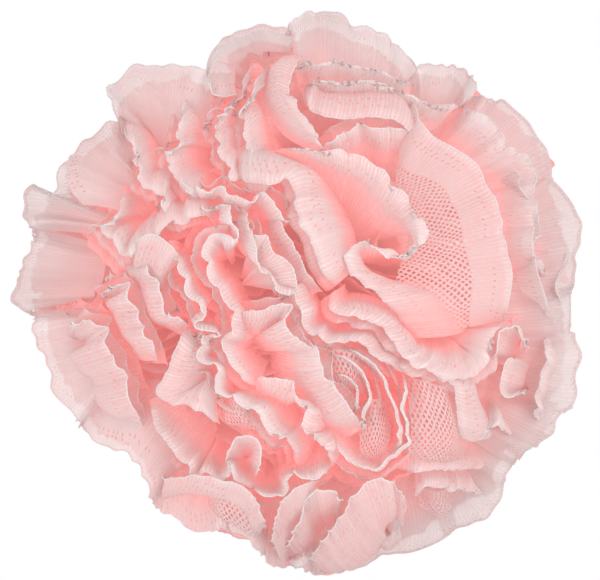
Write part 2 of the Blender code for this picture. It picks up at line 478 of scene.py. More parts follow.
# Ruffles of the photographed side. Round the outline, broad petals show their inner face.
OUTLINE_RUFFLES = (
    Ruffle(
        "top hump",
        ((289, 36), (294, 24), (306, 16), (322, 13), (340, 19), (354, 27), (372, 33), (390, 42),
         (404, 55), (415, 70)),
        ((8, 50), (6, 58), (3, 62), (0, 64), (0, 64), (-2, 62), (-6, 60), (-10, 56), (-16, 50), (-22, 44)),
        sink=0.74,
    ),
    Ruffle(
        "top left hump",
        ((236, 96), (216, 97), (208, 86), (207, 75), (214, 58), (223, 43), (241, 32), (262, 27),
         (282, 31), (296, 34)),
        ((12, -6), (20, -8), (26, 0), (28, 6), (26, 14), (24, 22), (14, 26), (6, 28), (0, 30), (-4, 30)),
        sink=0.60,
    ),
    Ruffle(
        "upper left petal",
        ((121, 120), (113, 100), (112, 87), (120, 79), (132, 71), (152, 68), (180, 68), (204, 72),
         (214, 84)),
        ((34, 30), (40, 38), (42, 48), (36, 58), (26, 66), (14, 70), (4, 66), (0, 54), (2, 40)),
        sink=0.78,
    ),
    Ruffle(
        "left shoulder petal",
        ((126, 122), (106, 120), (97, 131), (81, 140), (70, 153), (66, 168), (68, 190), (82, 206)),
        ((22, 46), (32, 50), (44, 46), (56, 40), (62, 34), (64, 24), (58, 14), (46, 8)),
        sink=0.80,
    ),
    Ruffle(
        "left sliver",
        ((70, 158), (60, 168), (54, 182), (50, 196), (52, 210)),
        ((40, 12), (46, 8), (48, 4), (48, 0), (44, 0)),
        sink=0.76,
    ),
    Ruffle(
        "left ear",
        ((56, 194), (42, 189), (30, 188), (24, 198), (22, 214), (29, 225), (34, 238)),
        ((44, 26), (56, 26), (66, 22), (70, 14), (68, 8), (60, 2), (52, -2)),
        sink=0.80,
    ),
    Ruffle(
        "left flank petal",
        ((36, 228), (30, 246), (23, 264), (16, 284), (13, 299), (18, 309), (32, 315)),
        ((50, 12), (56, 10), (60, 8), (62, 4), (62, -2), (56, -8), (46, -12)),
        sink=0.80,
    ),
    Ruffle(
        "lower left petal",
        ((30, 312), (35, 326), (34, 342), (40, 358), (47, 373), (50, 388), (61, 403), (74, 416), (84, 431)),
        ((52, -4), (56, -8), (60, -12), (60, -16), (58, -22), (56, -28), (52, -34), (46, -40), (40, -44)),
        sink=0.80,
    ),
    Ruffle(
        "lower left hem",
        ((80, 424), (90, 439), (106, 447), (123, 453), (134, 465), (141, 480), (148, 495), (157, 509)),
        ((42, -34), (42, -44), (38, -50), (34, -50), (36, -46), (36, -44), (34, -46), (30, -50)),
        sink=0.78,
    ),
    Ruffle(
        "bottom lobe",
        ((286, 563), (298, 569), (314, 574), (330, 571), (342, 564), (354, 552), (360, 536)),
        ((8, -38), (8, -48), (6, -56), (2, -56), (-4, -50), (-12, -42), (-18, -34)),
        sink=0.74,
    ),
    Ruffle(
        "bottom right hem",
        ((334, 565), (354, 567), (376, 560), (404, 554), (428, 548), (444, 541), (455, 531)),
        ((4, -36), (2, -44), (0, -52), (-4, -56), (-8, -56), (-12, -54), (-16, -50)),
        sink=0.74,
    ),
    Ruffle(
        "lower right petal",
        ((444, 538), (458, 529), (474, 525), (490, 517), (500, 504), (503, 488), (509, 473), (518, 458)),
        ((-20, -44), (-24, -46), (-30, -46), (-38, -42), (-44, -36), (-46, -30), (-46, -26), (-44, -24)),
        sink=0.76,
    ),
    Ruffle(
        "right hem",
        ((514, 464), (526, 448), (542, 444), (554, 433), (556, 420), (564, 412), (574, 409)),
        ((-42, -26), (-44, -24), (-48, -26), (-52, -24), (-50, -18), (-50, -14), (-52, -12)),
        sink=0.78,
    ),
    Ruffle(
        "right flank petal",
        ((566, 413), (576, 402), (578, 388), (576, 370), (581, 354), (577, 341), (572, 322), (571, 300),
         (573, 282)),
        ((-46, -14), (-52, -10), (-54, -8), (-52, -4), (-54, 0), (-52, 4), (-50, 6), (-50, 8), (-50, 8)),
        sink=0.80,
    ),
    Ruffle(
        "right shoulder petal",
        ((570, 292), (576, 272), (577, 252), (581, 229), (576, 212), (568, 199), (558, 185), (544, 174)),
        ((-46, 6), (-50, 6), (-52, 8), (-56, 10), (-54, 14), (-52, 20), (-48, 26), (-42, 32)),
        sink=0.80,
    ),
    Ruffle(
        "upper right petal",
        ((551, 178), (551, 164), (546, 148), (536, 134), (521, 115), (503, 102), (486, 95), (470, 97)),
        ((-40, 26), (-46, 24), (-50, 26), (-50, 30), (-46, 36), (-40, 42), (-32, 46), (-24, 48)),
        sink=0.78,
    ),
    Ruffle(
        "top right ear",
        ((474, 104), (476, 92), (474, 79), (466, 68), (446, 64), (427, 62), (417, 68), (409, 80)),
        ((-28, 22), (-30, 28), (-30, 38), (-24, 48), (-14, 52), (-6, 52), (-2, 46), (2, 38)),
        sink=0.76,
    ),
    Ruffle(
        "right flank fold",
        ((508, 168), (524, 186), (536, 208), (541, 232), (537, 256), (541, 282), (549, 306), (552, 330)),
        ((-16, 6), (-18, 4), (-20, 2), (-20, 0), (-18, 0), (-18, -2), (-18, -4), (-16, -6)),
        rise=0.985, sink=0.84, calm=0.8, behind=0,
    ),
    Ruffle(
        "right flank outer",
        ((550, 206), (561, 230), (566, 256), (560, 284), (562, 312), (566, 336)),
        ((-14, 4), (-16, 2), (-16, 0), (-14, -2), (-14, -2), (-12, -4)),
        rise=0.985, sink=0.86, behind=0,
    ),
)

# Inside the outline, from the top down: the deep folds with their bright edges.
FOLD_RUFFLES = (
    Ruffle(
        "top lumps",
        ((294, 72), (308, 62), (324, 66), (340, 61), (358, 68), (376, 69), (396, 78), (412, 88)),
        ((4, 14), (2, 16), (0, 16), (0, 18), (-2, 18), (-4, 16), (-6, 16), (-8, 14)),
        rise=0.985, sink=0.84, bow=0.24, behind=0,
    ),
    Ruffle(
        "top inner band",
        ((300, 88), (318, 80), (340, 84), (362, 82), (384, 86), (404, 92), (420, 101), (438, 107),
         (460, 105)),
        ((4, 14), (2, 18), (0, 20), (0, 20), (-4, 20), (-6, 20), (-8, 18), (-10, 18), (-12, 16)),
        rise=0.985, sink=0.82, bow=0.24, behind=0,
    ),
    Ruffle(
        "hanging petal",
        ((302, 92), (309, 104), (322, 114), (345, 117), (372, 115), (396, 119), (410, 127), (414, 142)),
        ((8, -6), (8, -10), (4, -14), (0, -16), (-2, -16), (-4, -16), (-8, -14), (-10, -10)),
        rise=0.985, sink=0.82, behind=0,
    ),
    Ruffle(
        "petal under it",
        ((322, 146), (330, 140), (346, 131), (362, 124), (381, 128), (396, 129), (410, 136)),
        ((8, 14), (6, 20), (4, 24), (2, 28), (-2, 30), (-6, 30), (-10, 26)),
        rise=0.985, sink=0.78,
    ),
    Ruffle(
        "far right arc",
        ((462, 104), (474, 116), (496, 128), (505, 146), (522, 158), (534, 172), (531, 196), (534, 220),
         (531, 244), (538, 262), (548, 282)),
        ((-22, 26), (-28, 26), (-36, 26), (-40, 26), (-42, 20), (-42, 14), (-38, 8), (-38, 6), (-34, 4),
         (-36, 0), (-38, -4)),
        rise=0.985, sink=0.78,
    ),
    Ruffle(
        "light band",
        ((300, 58), (293, 68), (289, 80), (288, 94), (294, 106), (302, 117), (309, 128), (318, 140),
         (328, 150)),
        ((-16, 6), (-20, 8), (-20, 10), (-20, 8), (-20, 6), (-20, 6), (-18, 6), (-14, 4), (-8, 2)),
        rise=0.995, sink=0.85, bow=0.28, calm=0.7, behind=0,
    ),
    Ruffle(
        "great curl",
        ((264, 156), (276, 151), (290, 149), (306, 150), (324, 152), (342, 155), (360, 159), (378, 171),
         (392, 187), (404, 200), (415, 214), (420, 228), (419, 242), (408, 256), (396, 257), (380, 250),
         (364, 242), (350, 246), (345, 258), (352, 275), (368, 289), (386, 303), (402, 322), (414, 338)),
        ((2, 20), (2, 24), (4, 28), (4, 34), (0, 40), (-6, 44), (-14, 46), (-22, 44), (-28, 40),
         (-34, 34), (-38, 24), (-34, 10), (-28, -2), (-14, -4), (-4, 6), (2, 12), (6, 16), (8, 14),
         (14, 10), (24, 4), (34, -6), (38, -14), (38, -16), (34, -18)),
        rise=1.0, sink=0.60, bow=0.28, calm=0.8, behind=0, deeper=0.35,
    ),
    Ruffle(
        "crest",
        ((236, 180), (252, 182), (272, 184), (288, 178), (292, 192), (296, 208), (300, 224), (311, 240),
         (316, 258), (324, 274), (334, 286)),
        ((8, -26), (8, -26), (12, -20), (30, 4), (36, 8), (38, 6), (38, 0), (32, -6), (30, -10),
         (26, -14), (20, -18)),
        rise=1.005, sink=0.74, bow=0.28, calm=0.8, behind=1,
    ),
    Ruffle(
        "bright diagonal",
        ((329, 294), (331, 308), (345, 314), (362, 318), (378, 325), (390, 336), (399, 350), (410, 362),
         (428, 371), (444, 378), (459, 381), (474, 376), (485, 366), (491, 348), (497, 330), (506, 319)),
        ((12, -8), (12, -12), (8, -16), (10, -16), (12, -14), (14, -12), (14, -12), (12, -18), (6, -26),
         (0, -34), (-8, -38), (-20, -34), (-32, -24), (-38, -10), (-38, 0), (-34, 8)),
        rise=1.01, sink=0.76, bow=0.22, behind=1,
    ),
    Ruffle(
        "upper left curtain",
        ((262, 80), (254, 88), (254, 101), (244, 107), (244, 122), (248, 140), (251, 160), (258, 174),
         (270, 183)),
        ((20, 6), (24, 6), (24, 2), (26, 0), (26, 0), (26, -4), (24, -8), (18, -14), (10, -18)),
        rise=0.99, sink=0.66,
    ),
    Ruffle(
        "left curtain",
        ((236, 98), (226, 112), (215, 128), (220, 142), (221, 154), (230, 166), (233, 178), (246, 180)),
        ((20, 6), (24, 4), (28, 0), (26, -2), (24, -4), (20, -8), (16, -12), (8, -16)),
        rise=0.985, sink=0.68,
    ),
    Ruffle(
        "shoulder fold",
        ((188, 96), (182, 112), (180, 132), (176, 148), (168, 152), (172, 170), (180, 184), (192, 194),
         (206, 200)),
        ((20, 8), (26, 6), (30, 4), (32, 2), (34, 0), (32, -6), (28, -12), (22, -18), (16, -20)),
        rise=0.98, sink=0.72,
    ),
    Ruffle(
        "left upper fold",
        ((122, 130), (128, 142), (138, 152), (140, 168), (142, 184), (152, 190), (164, 196), (166, 208),
         (180, 214)),
        ((14, -14), (18, -12), (22, -10), (24, -8), (26, -12), (22, -18), (18, -20), (16, -18), (10, -18)),
        rise=0.98, sink=0.74,
    ),
    Ruffle(
        "left sail",
        ((122, 186), (120, 204), (112, 221), (105, 230), (113, 241), (122, 253), (131, 258), (138, 247),
         (146, 239), (157, 240), (163, 226), (169, 219), (181, 222), (192, 216), (208, 214), (221, 221)),
        ((34, 6), (34, 2), (34, -4), (34, -10), (32, -18), (28, -24), (22, -28), (18, -26), (16, -26),
         (16, -28), (16, -24), (14, -22), (12, -22), (8, -22), (4, -22), (-4, -20)),
        rise=0.985, sink=0.70,
    ),
    Ruffle(
        "brow",
        ((176, 178), (190, 186), (206, 190), (222, 187), (234, 195), (250, 198), (260, 192), (270, 196),
         (278, 206), (284, 217), (296, 220)),
        ((4, 20), (2, 22), (0, 24), (0, 26), (-2, 26), (-4, 26), (-6, 26), (-10, 24), (-14, 20),
         (-16, 18), (-18, 14)),
        rise=0.99, sink=0.68,
    ),
    Ruffle(
        "second brow",
        ((184, 206), (200, 208), (216, 208), (228, 207), (235, 217), (242, 228), (238, 237), (226, 236),
         (214, 238), (206, 247), (205, 259), (211, 272), (221, 284), (229, 298), (235, 312), (233, 330),
         (224, 343), (229, 356), (238, 370), (248, 382), (257, 386)),
        ((0, 14), (0, 14), (-2, 14), (-8, 12), (-14, 8), (-12, 0), (-2, 14), (4, 22), (16, 16), (20, 8),
         (14, 2), (12, -3), (12, -6), (12, -6), (14, -2), (20, 4), (22, 2), (20, -6), (18, -10),
         (16, -16), (10, -20)),
        rise=1.0, sink=0.72,
    ),
    Ruffle(
        "heart line",
        ((238, 208), (246, 213), (250, 227), (254, 241), (258, 253), (263, 266), (270, 276), (279, 284),
         (283, 291), (289, 294), (296, 288), (298, 300), (304, 316), (309, 328), (320, 331), (328, 339),
         (346, 340), (362, 343), (373, 352), (384, 362), (397, 370), (408, 376)),
        ((-8, 14), (-14, 10), (-16, 4), (-16, 0), (-16, -4), (-14, -8), (-10, -12), (-8, -14), (0, -16),
         (8, -14), (12, -8), (14, -4), (14, -8), (12, -12), (8, -14), (8, -14), (8, -14), (10, -14),
         (12, -12), (12, -12), (10, -14), (6, -14)),
        rise=1.0, sink=0.72,
    ),
    Ruffle(
        "heart fan",
        ((250, 246), (258, 237), (267, 236), (270, 246), (274, 254), (285, 260), (293, 270), (296, 283),
         (290, 293)),
        ((-6, 24), (-10, 30), (-14, 32), (-20, 28), (-26, 24), (-32, 18), (-38, 10), (-40, 2), (-34, -6)),
        rise=0.99, sink=0.80, bow=0.18, calm=0.5, behind=0,
    ),
    Ruffle(
        "inner left line",
        ((172, 240), (173, 252), (181, 262), (183, 275), (190, 289), (200, 304), (208, 315), (203, 322),
         (196, 325), (208, 328), (217, 335), (208, 339), (205, 348), (208, 362), (218, 369), (221, 382),
         (226, 397), (240, 399), (251, 404), (263, 420), (276, 436), (287, 438), (294, 450), (295, 464)),
        ((14, 4), (16, 0), (16, -4), (16, -4), (14, -6), (14, -6), (4, -12), (-6, -10), (2, -10),
         (10, -8), (4, -10), (14, 0), (16, 0), (14, -8), (12, -8), (14, -6), (12, -10), (10, -16),
         (16, -16), (22, -16), (20, -20), (14, -22), (18, -14), (16, -12)),
        rise=1.0, sink=0.70,
    ),
    Ruffle(
        "middle shelf",
        ((232, 316), (248, 312), (264, 309), (278, 304), (290, 304), (290, 314), (287, 322), (294, 334),
         (304, 345), (319, 349), (322, 362), (324, 376), (334, 387), (344, 401), (354, 414), (362, 428)),
        ((2, 20), (0, 22), (-2, 24), (-6, 26), (-14, 22), (-22, 16), (-28, 12), (-30, 8), (-32, 4),
         (-36, -2), (-38, -4), (-38, -2), (-36, 4), (-36, 6), (-34, 6), (-30, 4)),
        rise=1.0, sink=0.72, behind=1,
    ),
    Ruffle(
        "lower shelf",
        ((256, 380), (270, 376), (284, 380), (294, 384), (297, 396), (308, 406), (306, 418), (302, 430),
         (314, 434), (324, 444), (331, 455), (333, 467)),
        ((4, 16), (4, 18), (-2, 20), (-10, 18), (16, -4), (20, -8), (22, -6), (22, -8), (18, -18),
         (14, -22), (10, -24), (4, -26)),
        rise=0.99, sink=0.68, behind=0,
    ),
    Ruffle(
        "whorl outer",
        ((404, 372), (408, 388), (404, 404), (408, 420), (410, 436), (404, 450), (392, 460), (378, 470),
         (364, 470), (350, 464), (338, 452), (333, 436)),
        ((-10, -2), (-14, -4), (-14, -6), (-14, -8), (-14, -12), (-14, -16), (-10, -20), (-4, -24),
         (2, -26), (8, -24), (14, -18), (18, -10)),
        rise=0.99, sink=0.68, calm=0.6,
    ),
    Ruffle(
        "whorl second",
        ((344, 346), (360, 352), (374, 362), (384, 374), (390, 390), (396, 406), (401, 424), (400, 440),
         (390, 452)),
        ((-4, 8), (-6, 8), (-8, 6), (-9, 4), (-10, 0), (-10, -2), (-10, -6), (-10, -10), (-8, -12)),
        rise=0.985, sink=0.66, calm=0.4,
    ),
    Ruffle(
        "whorl third",
        ((330, 352), (346, 356), (360, 366), (368, 378), (371, 392), (368, 406), (364, 420), (362, 434)),
        ((-2, 8), (-4, 8), (-8, 8), (-10, 4), (-10, 0), (-10, -4), (-10, -4), (-8, -6)),
        rise=0.985, sink=0.66, calm=0.4,
    ),
    Ruffle(
        "whorl heart",
        ((330, 376), (344, 374), (356, 382), (360, 394), (356, 408), (350, 414)),
        ((4, 10), (0, 10), (-6, 8), (-10, 2), (-8, -4), (-4, -6)),
        rise=0.97, sink=0.66, calm=0.3,
    ),
    Ruffle(
        "net hollow rim",
        ((428, 372), (444, 380), (455, 386), (457, 400), (459, 418), (461, 436), (472, 442), (484, 433),
         (496, 425), (505, 431), (512, 443)),
        ((8, -12), (8, -12), (12, -8), (16, -2), (20, -4), (22, -10), (10, -26), (2, -24), (-4, -22),
         (-8, -20), (-10, -16)),
        rise=0.99, sink=0.86, bow=0.20, calm=0.5, behind=0,
    ),
    Ruffle(
        "lower right shelf",
        ((396, 469), (420, 471), (446, 470), (470, 470), (492, 467)),
        ((0, -28), (0, -30), (0, -30), (-2, -28), (-6, -26)),
        rise=0.975, sink=0.78, calm=0.5, behind=0,
    ),
    Ruffle(
        "lower right edge",
        ((412, 498), (420, 488), (436, 487), (452, 489), (468, 491), (486, 493), (498, 488)),
        ((2, -16), (0, -20), (0, -20), (-2, -20), (-4, -20), (-8, -18), (-10, -14)),
        rise=0.985, sink=0.84, calm=0.6, behind=0,
    ),
    Ruffle(
        "right small arch",
        ((494, 362), (494, 346), (499, 332), (508, 324), (518, 326), (524, 336), (527, 350)),
        ((14, 4), (16, 6), (14, 12), (6, 18), (-6, 18), (-12, 12), (-14, 6)),
        rise=0.985, sink=0.74, bow=0.06, calm=0.5, behind=0,
    ),
    Ruffle(
        "right small cup",
        ((524, 357), (512, 361), (505, 370), (502, 382), (507, 393), (518, 394), (528, 391)),
        ((4, 12), (10, 10), (14, 6), (16, 0), (10, -8), (2, -12), (-4, -10)),
        rise=0.985, sink=0.80, bow=0.06, calm=0.4, behind=0,
    ),
    Ruffle(
        "right tall line",
        ((546, 330), (548, 350), (546, 372), (541, 392), (537, 412), (533, 430)),
        ((-16, 2), (-18, 2), (-18, 0), (-18, -2), (-18, -6), (-16, -10)),
        rise=0.985, sink=0.76, calm=0.7,
    ),
    Ruffle(
        "left long fold",
        ((140, 260), (150, 272), (160, 286), (164, 302), (166, 315), (178, 316), (188, 325)),
        ((-14, 6), (-14, 4), (-14, 2), (-14, 0), (-10, 4), (-2, 12), (6, 14)),
        rise=0.985, sink=0.72,
    ),
    Ruffle(
        "left bright petal",
        ((190, 326), (181, 338), (174, 352), (168, 364), (162, 377), (157, 392), (164, 402), (182, 407),
         (202, 413), (221, 426)),
        ((14, 16), (24, 14), (30, 10), (34, 6), (38, 0), (40, -8), (34, -18), (24, -28), (10, -36),
         (-2, -34)),
        rise=1.0, sink=0.86, bow=0.20, calm=0.6, behind=0,
    ),
    Ruffle(
        "left bulb",
        ((137, 252), (141, 241), (151, 236), (162, 240), (172, 249), (180, 261)),
        ((4, 28), (4, 36), (4, 40), (0, 42), (-6, 38), (-12, 28)),
        rise=0.99, sink=0.84, bow=0.25, calm=0.3, behind=0,
    ),
    Ruffle(
        "left middle fold",
        ((104, 302), (106, 290), (114, 284), (128, 284), (132, 298), (138, 314), (146, 330), (153, 344),
         (158, 360)),
        ((16, 0), (16, 4), (8, 14), (0, 16), (-14, 6), (-16, 2), (-16, 0), (-16, -2), (-14, -4)),
        rise=0.98, sink=0.74,
    ),
    Ruffle(
        "left low arc",
        ((72, 338), (75, 325), (90, 321), (104, 326), (108, 344), (118, 360), (125, 376), (131, 394),
         (137, 412), (146, 430)),
        ((16, 10), (14, 16), (4, 20), (-6, 16), (-20, 8), (-22, 4), (-22, 0), (-22, -4), (-20, -8),
         (-18, -12)),
        rise=0.98, sink=0.76,
    ),
    Ruffle(
        "left low petal",
        ((150, 398), (154, 412), (160, 430), (170, 444), (179, 455), (190, 463), (196, 476), (206, 471),
         (216, 477), (223, 474), (228, 463), (236, 474), (248, 484), (264, 488)),
        ((26, -10), (28, -14), (28, -18), (26, -22), (24, -26), (20, -28), (16, -30), (12, -30), (8, -28),
         (6, -26), (6, -22), (8, -24), (6, -26), (2, -26)),
        rise=0.98, sink=0.70,
    ),
    Ruffle(
        "low left arch",
        ((226, 462), (228, 448), (233, 438), (245, 433), (257, 438), (264, 448), (262, 462), (256, 474)),
        ((14, 2), (14, 6), (10, 14), (2, 18), (-6, 16), (-14, 8), (-14, 0), (-10, -4)),
        rise=0.99, sink=0.80, bow=0.05, calm=0.3, behind=0,
    ),
    Ruffle(
        "low middle loop",
        ((252, 484), (262, 492), (274, 494), (284, 488), (290, 478), (306, 474), (322, 472), (334, 466)),
        ((4, -16), (2, -20), (-2, -20), (-8, -16), (-8, -16), (-4, -20), (-2, -24), (-6, -24)),
        rise=0.98, sink=0.72,
    ),
    Ruffle(
        "bottom tall fold",
        ((280, 558), (275, 540), (276, 522), (282, 502), (292, 490), (305, 483), (318, 480)),
        ((14, -4), (16, -2), (18, 0), (16, 8), (10, 14), (4, 16), (0, 14)),
        rise=0.985, sink=0.80, calm=0.5, behind=0,
    ),
    Ruffle(
        "bottom arch",
        ((281, 560), (292, 534), (300, 512), (308, 496), (319, 487), (332, 488), (338, 496), (334, 506)),
        ((16, -2), (20, 2), (22, 6), (18, 14), (6, 22), (-4, 20), (-10, 14), (-8, 8)),
        rise=0.985, sink=0.68, bow=0.10, calm=0.5, behind=0,
    ),
    Ruffle(
        "bottom petal",
        ((306, 566), (319, 546), (330, 531), (342, 514), (354, 494), (367, 482), (384, 478), (397, 487),
         (402, 503), (397, 526), (384, 541), (373, 534), (366, 521)),
        ((24, 4), (26, 8), (28, 12), (28, 14), (24, 18), (10, 26), (-4, 26), (-14, 18), (-18, 8),
         (-14, -4), (-4, -12), (6, -8), (10, -4)),
        rise=0.99, sink=0.82, bow=0.20, calm=0.6, behind=0,
    ),
    Ruffle(
        "bottom left fold",
        ((160, 482), (172, 478), (188, 476), (208, 475), (228, 479), (245, 487), (256, 500), (262, 518),
         (264, 534)),
        ((4, 9), (3, 10), (2, 11), (0, 12), (-4, 12), (-8, 11), (-11, 8), (-11, 3), (-10, 0)),
        rise=0.985, sink=0.84, calm=0.6, behind=0, deeper=0.3,
    ),
    Ruffle(
        "right low fold",
        ((558, 402), (552, 420), (542, 434), (531, 446), (519, 460)),
        ((-16, -4), (-18, -2), (-18, -2), (-16, -6), (-12, -10)),
        rise=0.98, sink=0.84, behind=0,
    ),
    Ruffle(
        "bottom left lobe",
        ((150, 498), (163, 515), (178, 522), (194, 532), (210, 533), (223, 529), (238, 531)),
        ((24, -50), (22, -52), (18, -54), (12, -56), (6, -54), (2, -46), (-2, -42)),
        sink=0.76, deeper=0.45, calm=0.5, behind=0,
    ),
    Ruffle(
        "bottom net fold",
        ((218, 524), (232, 531), (246, 538), (254, 546), (262, 556), (269, 565), (279, 569), (292, 565)),
        ((6, -38), (8, -42), (10, -46), (12, -50), (10, -56), (6, -62), (0, -62), (-4, -54)),
        sink=0.74, deeper=0.45, calm=0.5, behind=0,
    ),
    Ruffle(
        "under the crest",
        ((274, 212), (281, 224), (288, 236), (295, 248), (302, 262), (310, 277), (320, 290)),
        ((-10, 10), (-12, 10), (-14, 10), (-14, 10), (-14, 10), (-14, 8), (-12, 8)),
        rise=0.965, sink=0.82, calm=0.7, behind=0,
    ),
)

# Stretches of the open net that show between the folds: upper side, then the way down.
NET_RUFFLES = (
    Ruffle(
        "right long arc",
        ((410, 96), (417, 112), (424, 130), (443, 144), (461, 156), (477, 170), (487, 188), (494, 206),
         (500, 230), (506, 254), (509, 276), (506, 300), (500, 322)),
        ((-7, 25), (-13, 28), (-21, 36), (-33, 36), (-44, 35), (-53, 33), (-59, 28), (-64, 25), (-71, 19),
         (-80, 13), (-84, 10), (-77, 9), (-64, 7)),
        rise=0.99, sink=0.91, bow=0.07, calm=0.8, fabric=Fabric.WIDE, behind=0,
    ),
    Ruffle(
        "lower right net",
        ((402, 376), (420, 380), (440, 388), (458, 396)),
        ((4, 56), (4, 62), (2, 58), (0, 50)),
        rise=0.955, sink=0.92, fabric=Fabric.NET,
    ),
    Ruffle(
        "whorl net",
        ((320, 354), (336, 350), (352, 354), (364, 364)),
        ((8, 22), (4, 26), (0, 26), (-2, 22)),
        rise=0.96, sink=0.92, fabric=Fabric.NET,
    ),
    Ruffle(
        "whorl lower net",
        ((356, 404), (372, 400), (390, 404)),
        ((2, 40), (0, 44), (-4, 38)),
        rise=0.935, sink=0.92, fabric=Fabric.NET,
    ),
    Ruffle(
        "middle net",
        ((222, 394), (238, 396), (254, 402)),
        ((4, 22), (6, 24), (8, 22)),
        rise=0.94, sink=0.92, fabric=Fabric.NET,
    ),
    Ruffle(
        "bottom net",
        ((206, 486), (222, 488), (240, 494), (256, 504), (268, 518)),
        ((2, 20), (2, 24), (2, 28), (2, 30), (2, 26)),
        rise=0.955, sink=0.92, fabric=Fabric.NET,
    ),
    Ruffle(
        "bottom right net",
        ((416, 486), (434, 490), (456, 492)),
        ((2, 16), (0, 18), (-4, 16)),
        rise=0.955, sink=0.92, fabric=Fabric.NET,
    ),
)

# Ripples of the lace, coarse first: half height, mean length.
FRONT_FRILLS = (
    Frill(0.0008, 0.0105, curl=0.10, growth=0.7),
    Frill(0.0006, 0.0062, curl=0.10, growth=1.5),
    Frill(0.0002, 0.0029, curl=0.10, growth=2.6),
)
PETAL_FRILLS = (Frill(0.0010, 0.0190, curl=0.0, growth=0.9), Frill(0.00035, 0.0068, curl=0.0, growth=1.4))
ROUND_FRILLS = (
    Frill(0.0016, 0.0115, curl=0.2, growth=1.2),
    Frill(0.0008, 0.0056, curl=0.2, growth=2.0),
    Frill(0.0002, 0.0029, curl=0.1, growth=3.0),
)


class NodeTable:
    """Adds and links the shader nodes of one material."""

    def __init__(self, name: str) -> None:
        """Starts a material.

        Args:
            name: its name.
        """
        self.material = bpy.data.materials.new(name)
        self.material.use_nodes = True
        self.tree = self.material.node_tree
        self.tree.nodes.clear()

    def add(self, kind: str, **settings: Any) -> bpy.types.Node:
        """Adds a node.

        Args:
            kind: its type.
            settings: properties to set on it.

        Returns:
            The node.
        """
        node = self.tree.nodes.new(kind)
        for name, value in settings.items():
            setattr(node, name, value)
        return node

    def link(self, source: Socket, target: Socket) -> None:
        """Links an output socket to an input socket."""
        self.tree.links.new(source, target)

    def feed(self, target: Socket, value: Input) -> None:
        """Gives an input its value.

        Args:
            target: the input.
            value: an output to read, a number or a colour.
        """
        if isinstance(value, Socket):
            self.link(value, target)
        else:
            target.default_value = value

    def maths(self, operation: str, *values: Input) -> Socket:
        """Adds a maths node.

        Args:
            operation: what it does.
            values: outputs or numbers for its inputs, in order.

        Returns:
            Its output.
        """
        node = self.add("ShaderNodeMath", operation=operation)
        for socket, value in zip(node.inputs, values):
            self.feed(socket, value)
        return node.outputs[0]

    def ramp(self, value: Socket, low: float, high: float, start: float = 0.0, end: float = 1.0) -> Socket:
        """Maps a value smoothly, and holds it beyond the ends.

        Args:
            value: the value.
            low, high: where the mapping begins and ends.
            start, end: what it gives there.

        Returns:
            The mapped value.
        """
        node = self.add("ShaderNodeMapRange", interpolation_type="SMOOTHSTEP", clamp=True)
        self.link(value, node.inputs["Value"])
        for name, number in (("From Min", low), ("From Max", high), ("To Min", start), ("To Max", end)):
            node.inputs[name].default_value = number
        return node.outputs["Result"]

    def mix(self, share: Socket, first: Input, second: Input) -> Socket:
        """Mixes two colours.

        Args:
            share: how much of the second, 0 to 1.
            first, second: the colours, or outputs that give them.

        Returns:
            The mixed colour.
        """
        node = self.add("ShaderNodeMix", data_type="RGBA")
        self.link(share, node.inputs["Factor"])
        # Inputs 6 and 7 and output 2 are the ones for colours.
        self.feed(node.inputs[6], first)
        self.feed(node.inputs[7], second)
        return node.outputs[2]

    def blend(self, share: Input, first: Socket, second: Socket) -> Socket:
        """Mixes two surfaces.

        Args:
            share: how much of the second, 0 to 1.
            first, second: the surfaces.

        Returns:
            The mixed surface.
        """
        node = self.add("ShaderNodeMixShader")
        self.feed(node.inputs[0], share)
        self.link(first, node.inputs[1])
        self.link(second, node.inputs[2])
        return node.outputs[0]

    def wave(self, phase: Socket) -> Socket:
        """Returns the sine of a phase, between 0 and 1."""
        return self.maths("MULTIPLY_ADD", self.maths("SINE", phase), 0.5, 0.5)

    def noise(self, place: Socket, scale: float, detail: float) -> Socket:
        """Adds a cloudy noise.

        Args:
            place: where on the object it is read.
            scale: how fine it is.
            detail: how many finer layers it has.

        Returns:
            Its value.
        """
        node = self.add("ShaderNodeTexNoise")
        self.link(place, node.inputs["Vector"])
        node.inputs["Scale"].default_value = scale
        node.inputs["Detail"].default_value = detail
        return node.outputs["Fac"]

    def place(self) -> Socket:
        """Returns where on the object a point lies."""
        return self.add("ShaderNodeTexCoord").outputs["Object"]

    def lace_place(self) -> tuple[Socket, Socket]:
        """Reads the lace coordinates.

        Returns:
            The length along the free edge and the distance from it, in metres.
        """
        lace = self.add("ShaderNodeUVMap", uv_map="lace")
        parts = self.add("ShaderNodeSeparateXYZ")
        self.link(lace.outputs["UV"], parts.inputs[0])
        return parts.outputs["X"], parts.outputs["Y"]

    def finished(self, surface: Socket) -> bpy.types.Material:
        """Gives the material its surface.

        Args:
            surface: the surface.

        Returns:
            The material.
        """
        output = self.add("ShaderNodeOutputMaterial")
        self.link(surface, output.inputs["Surface"])
        return self.material


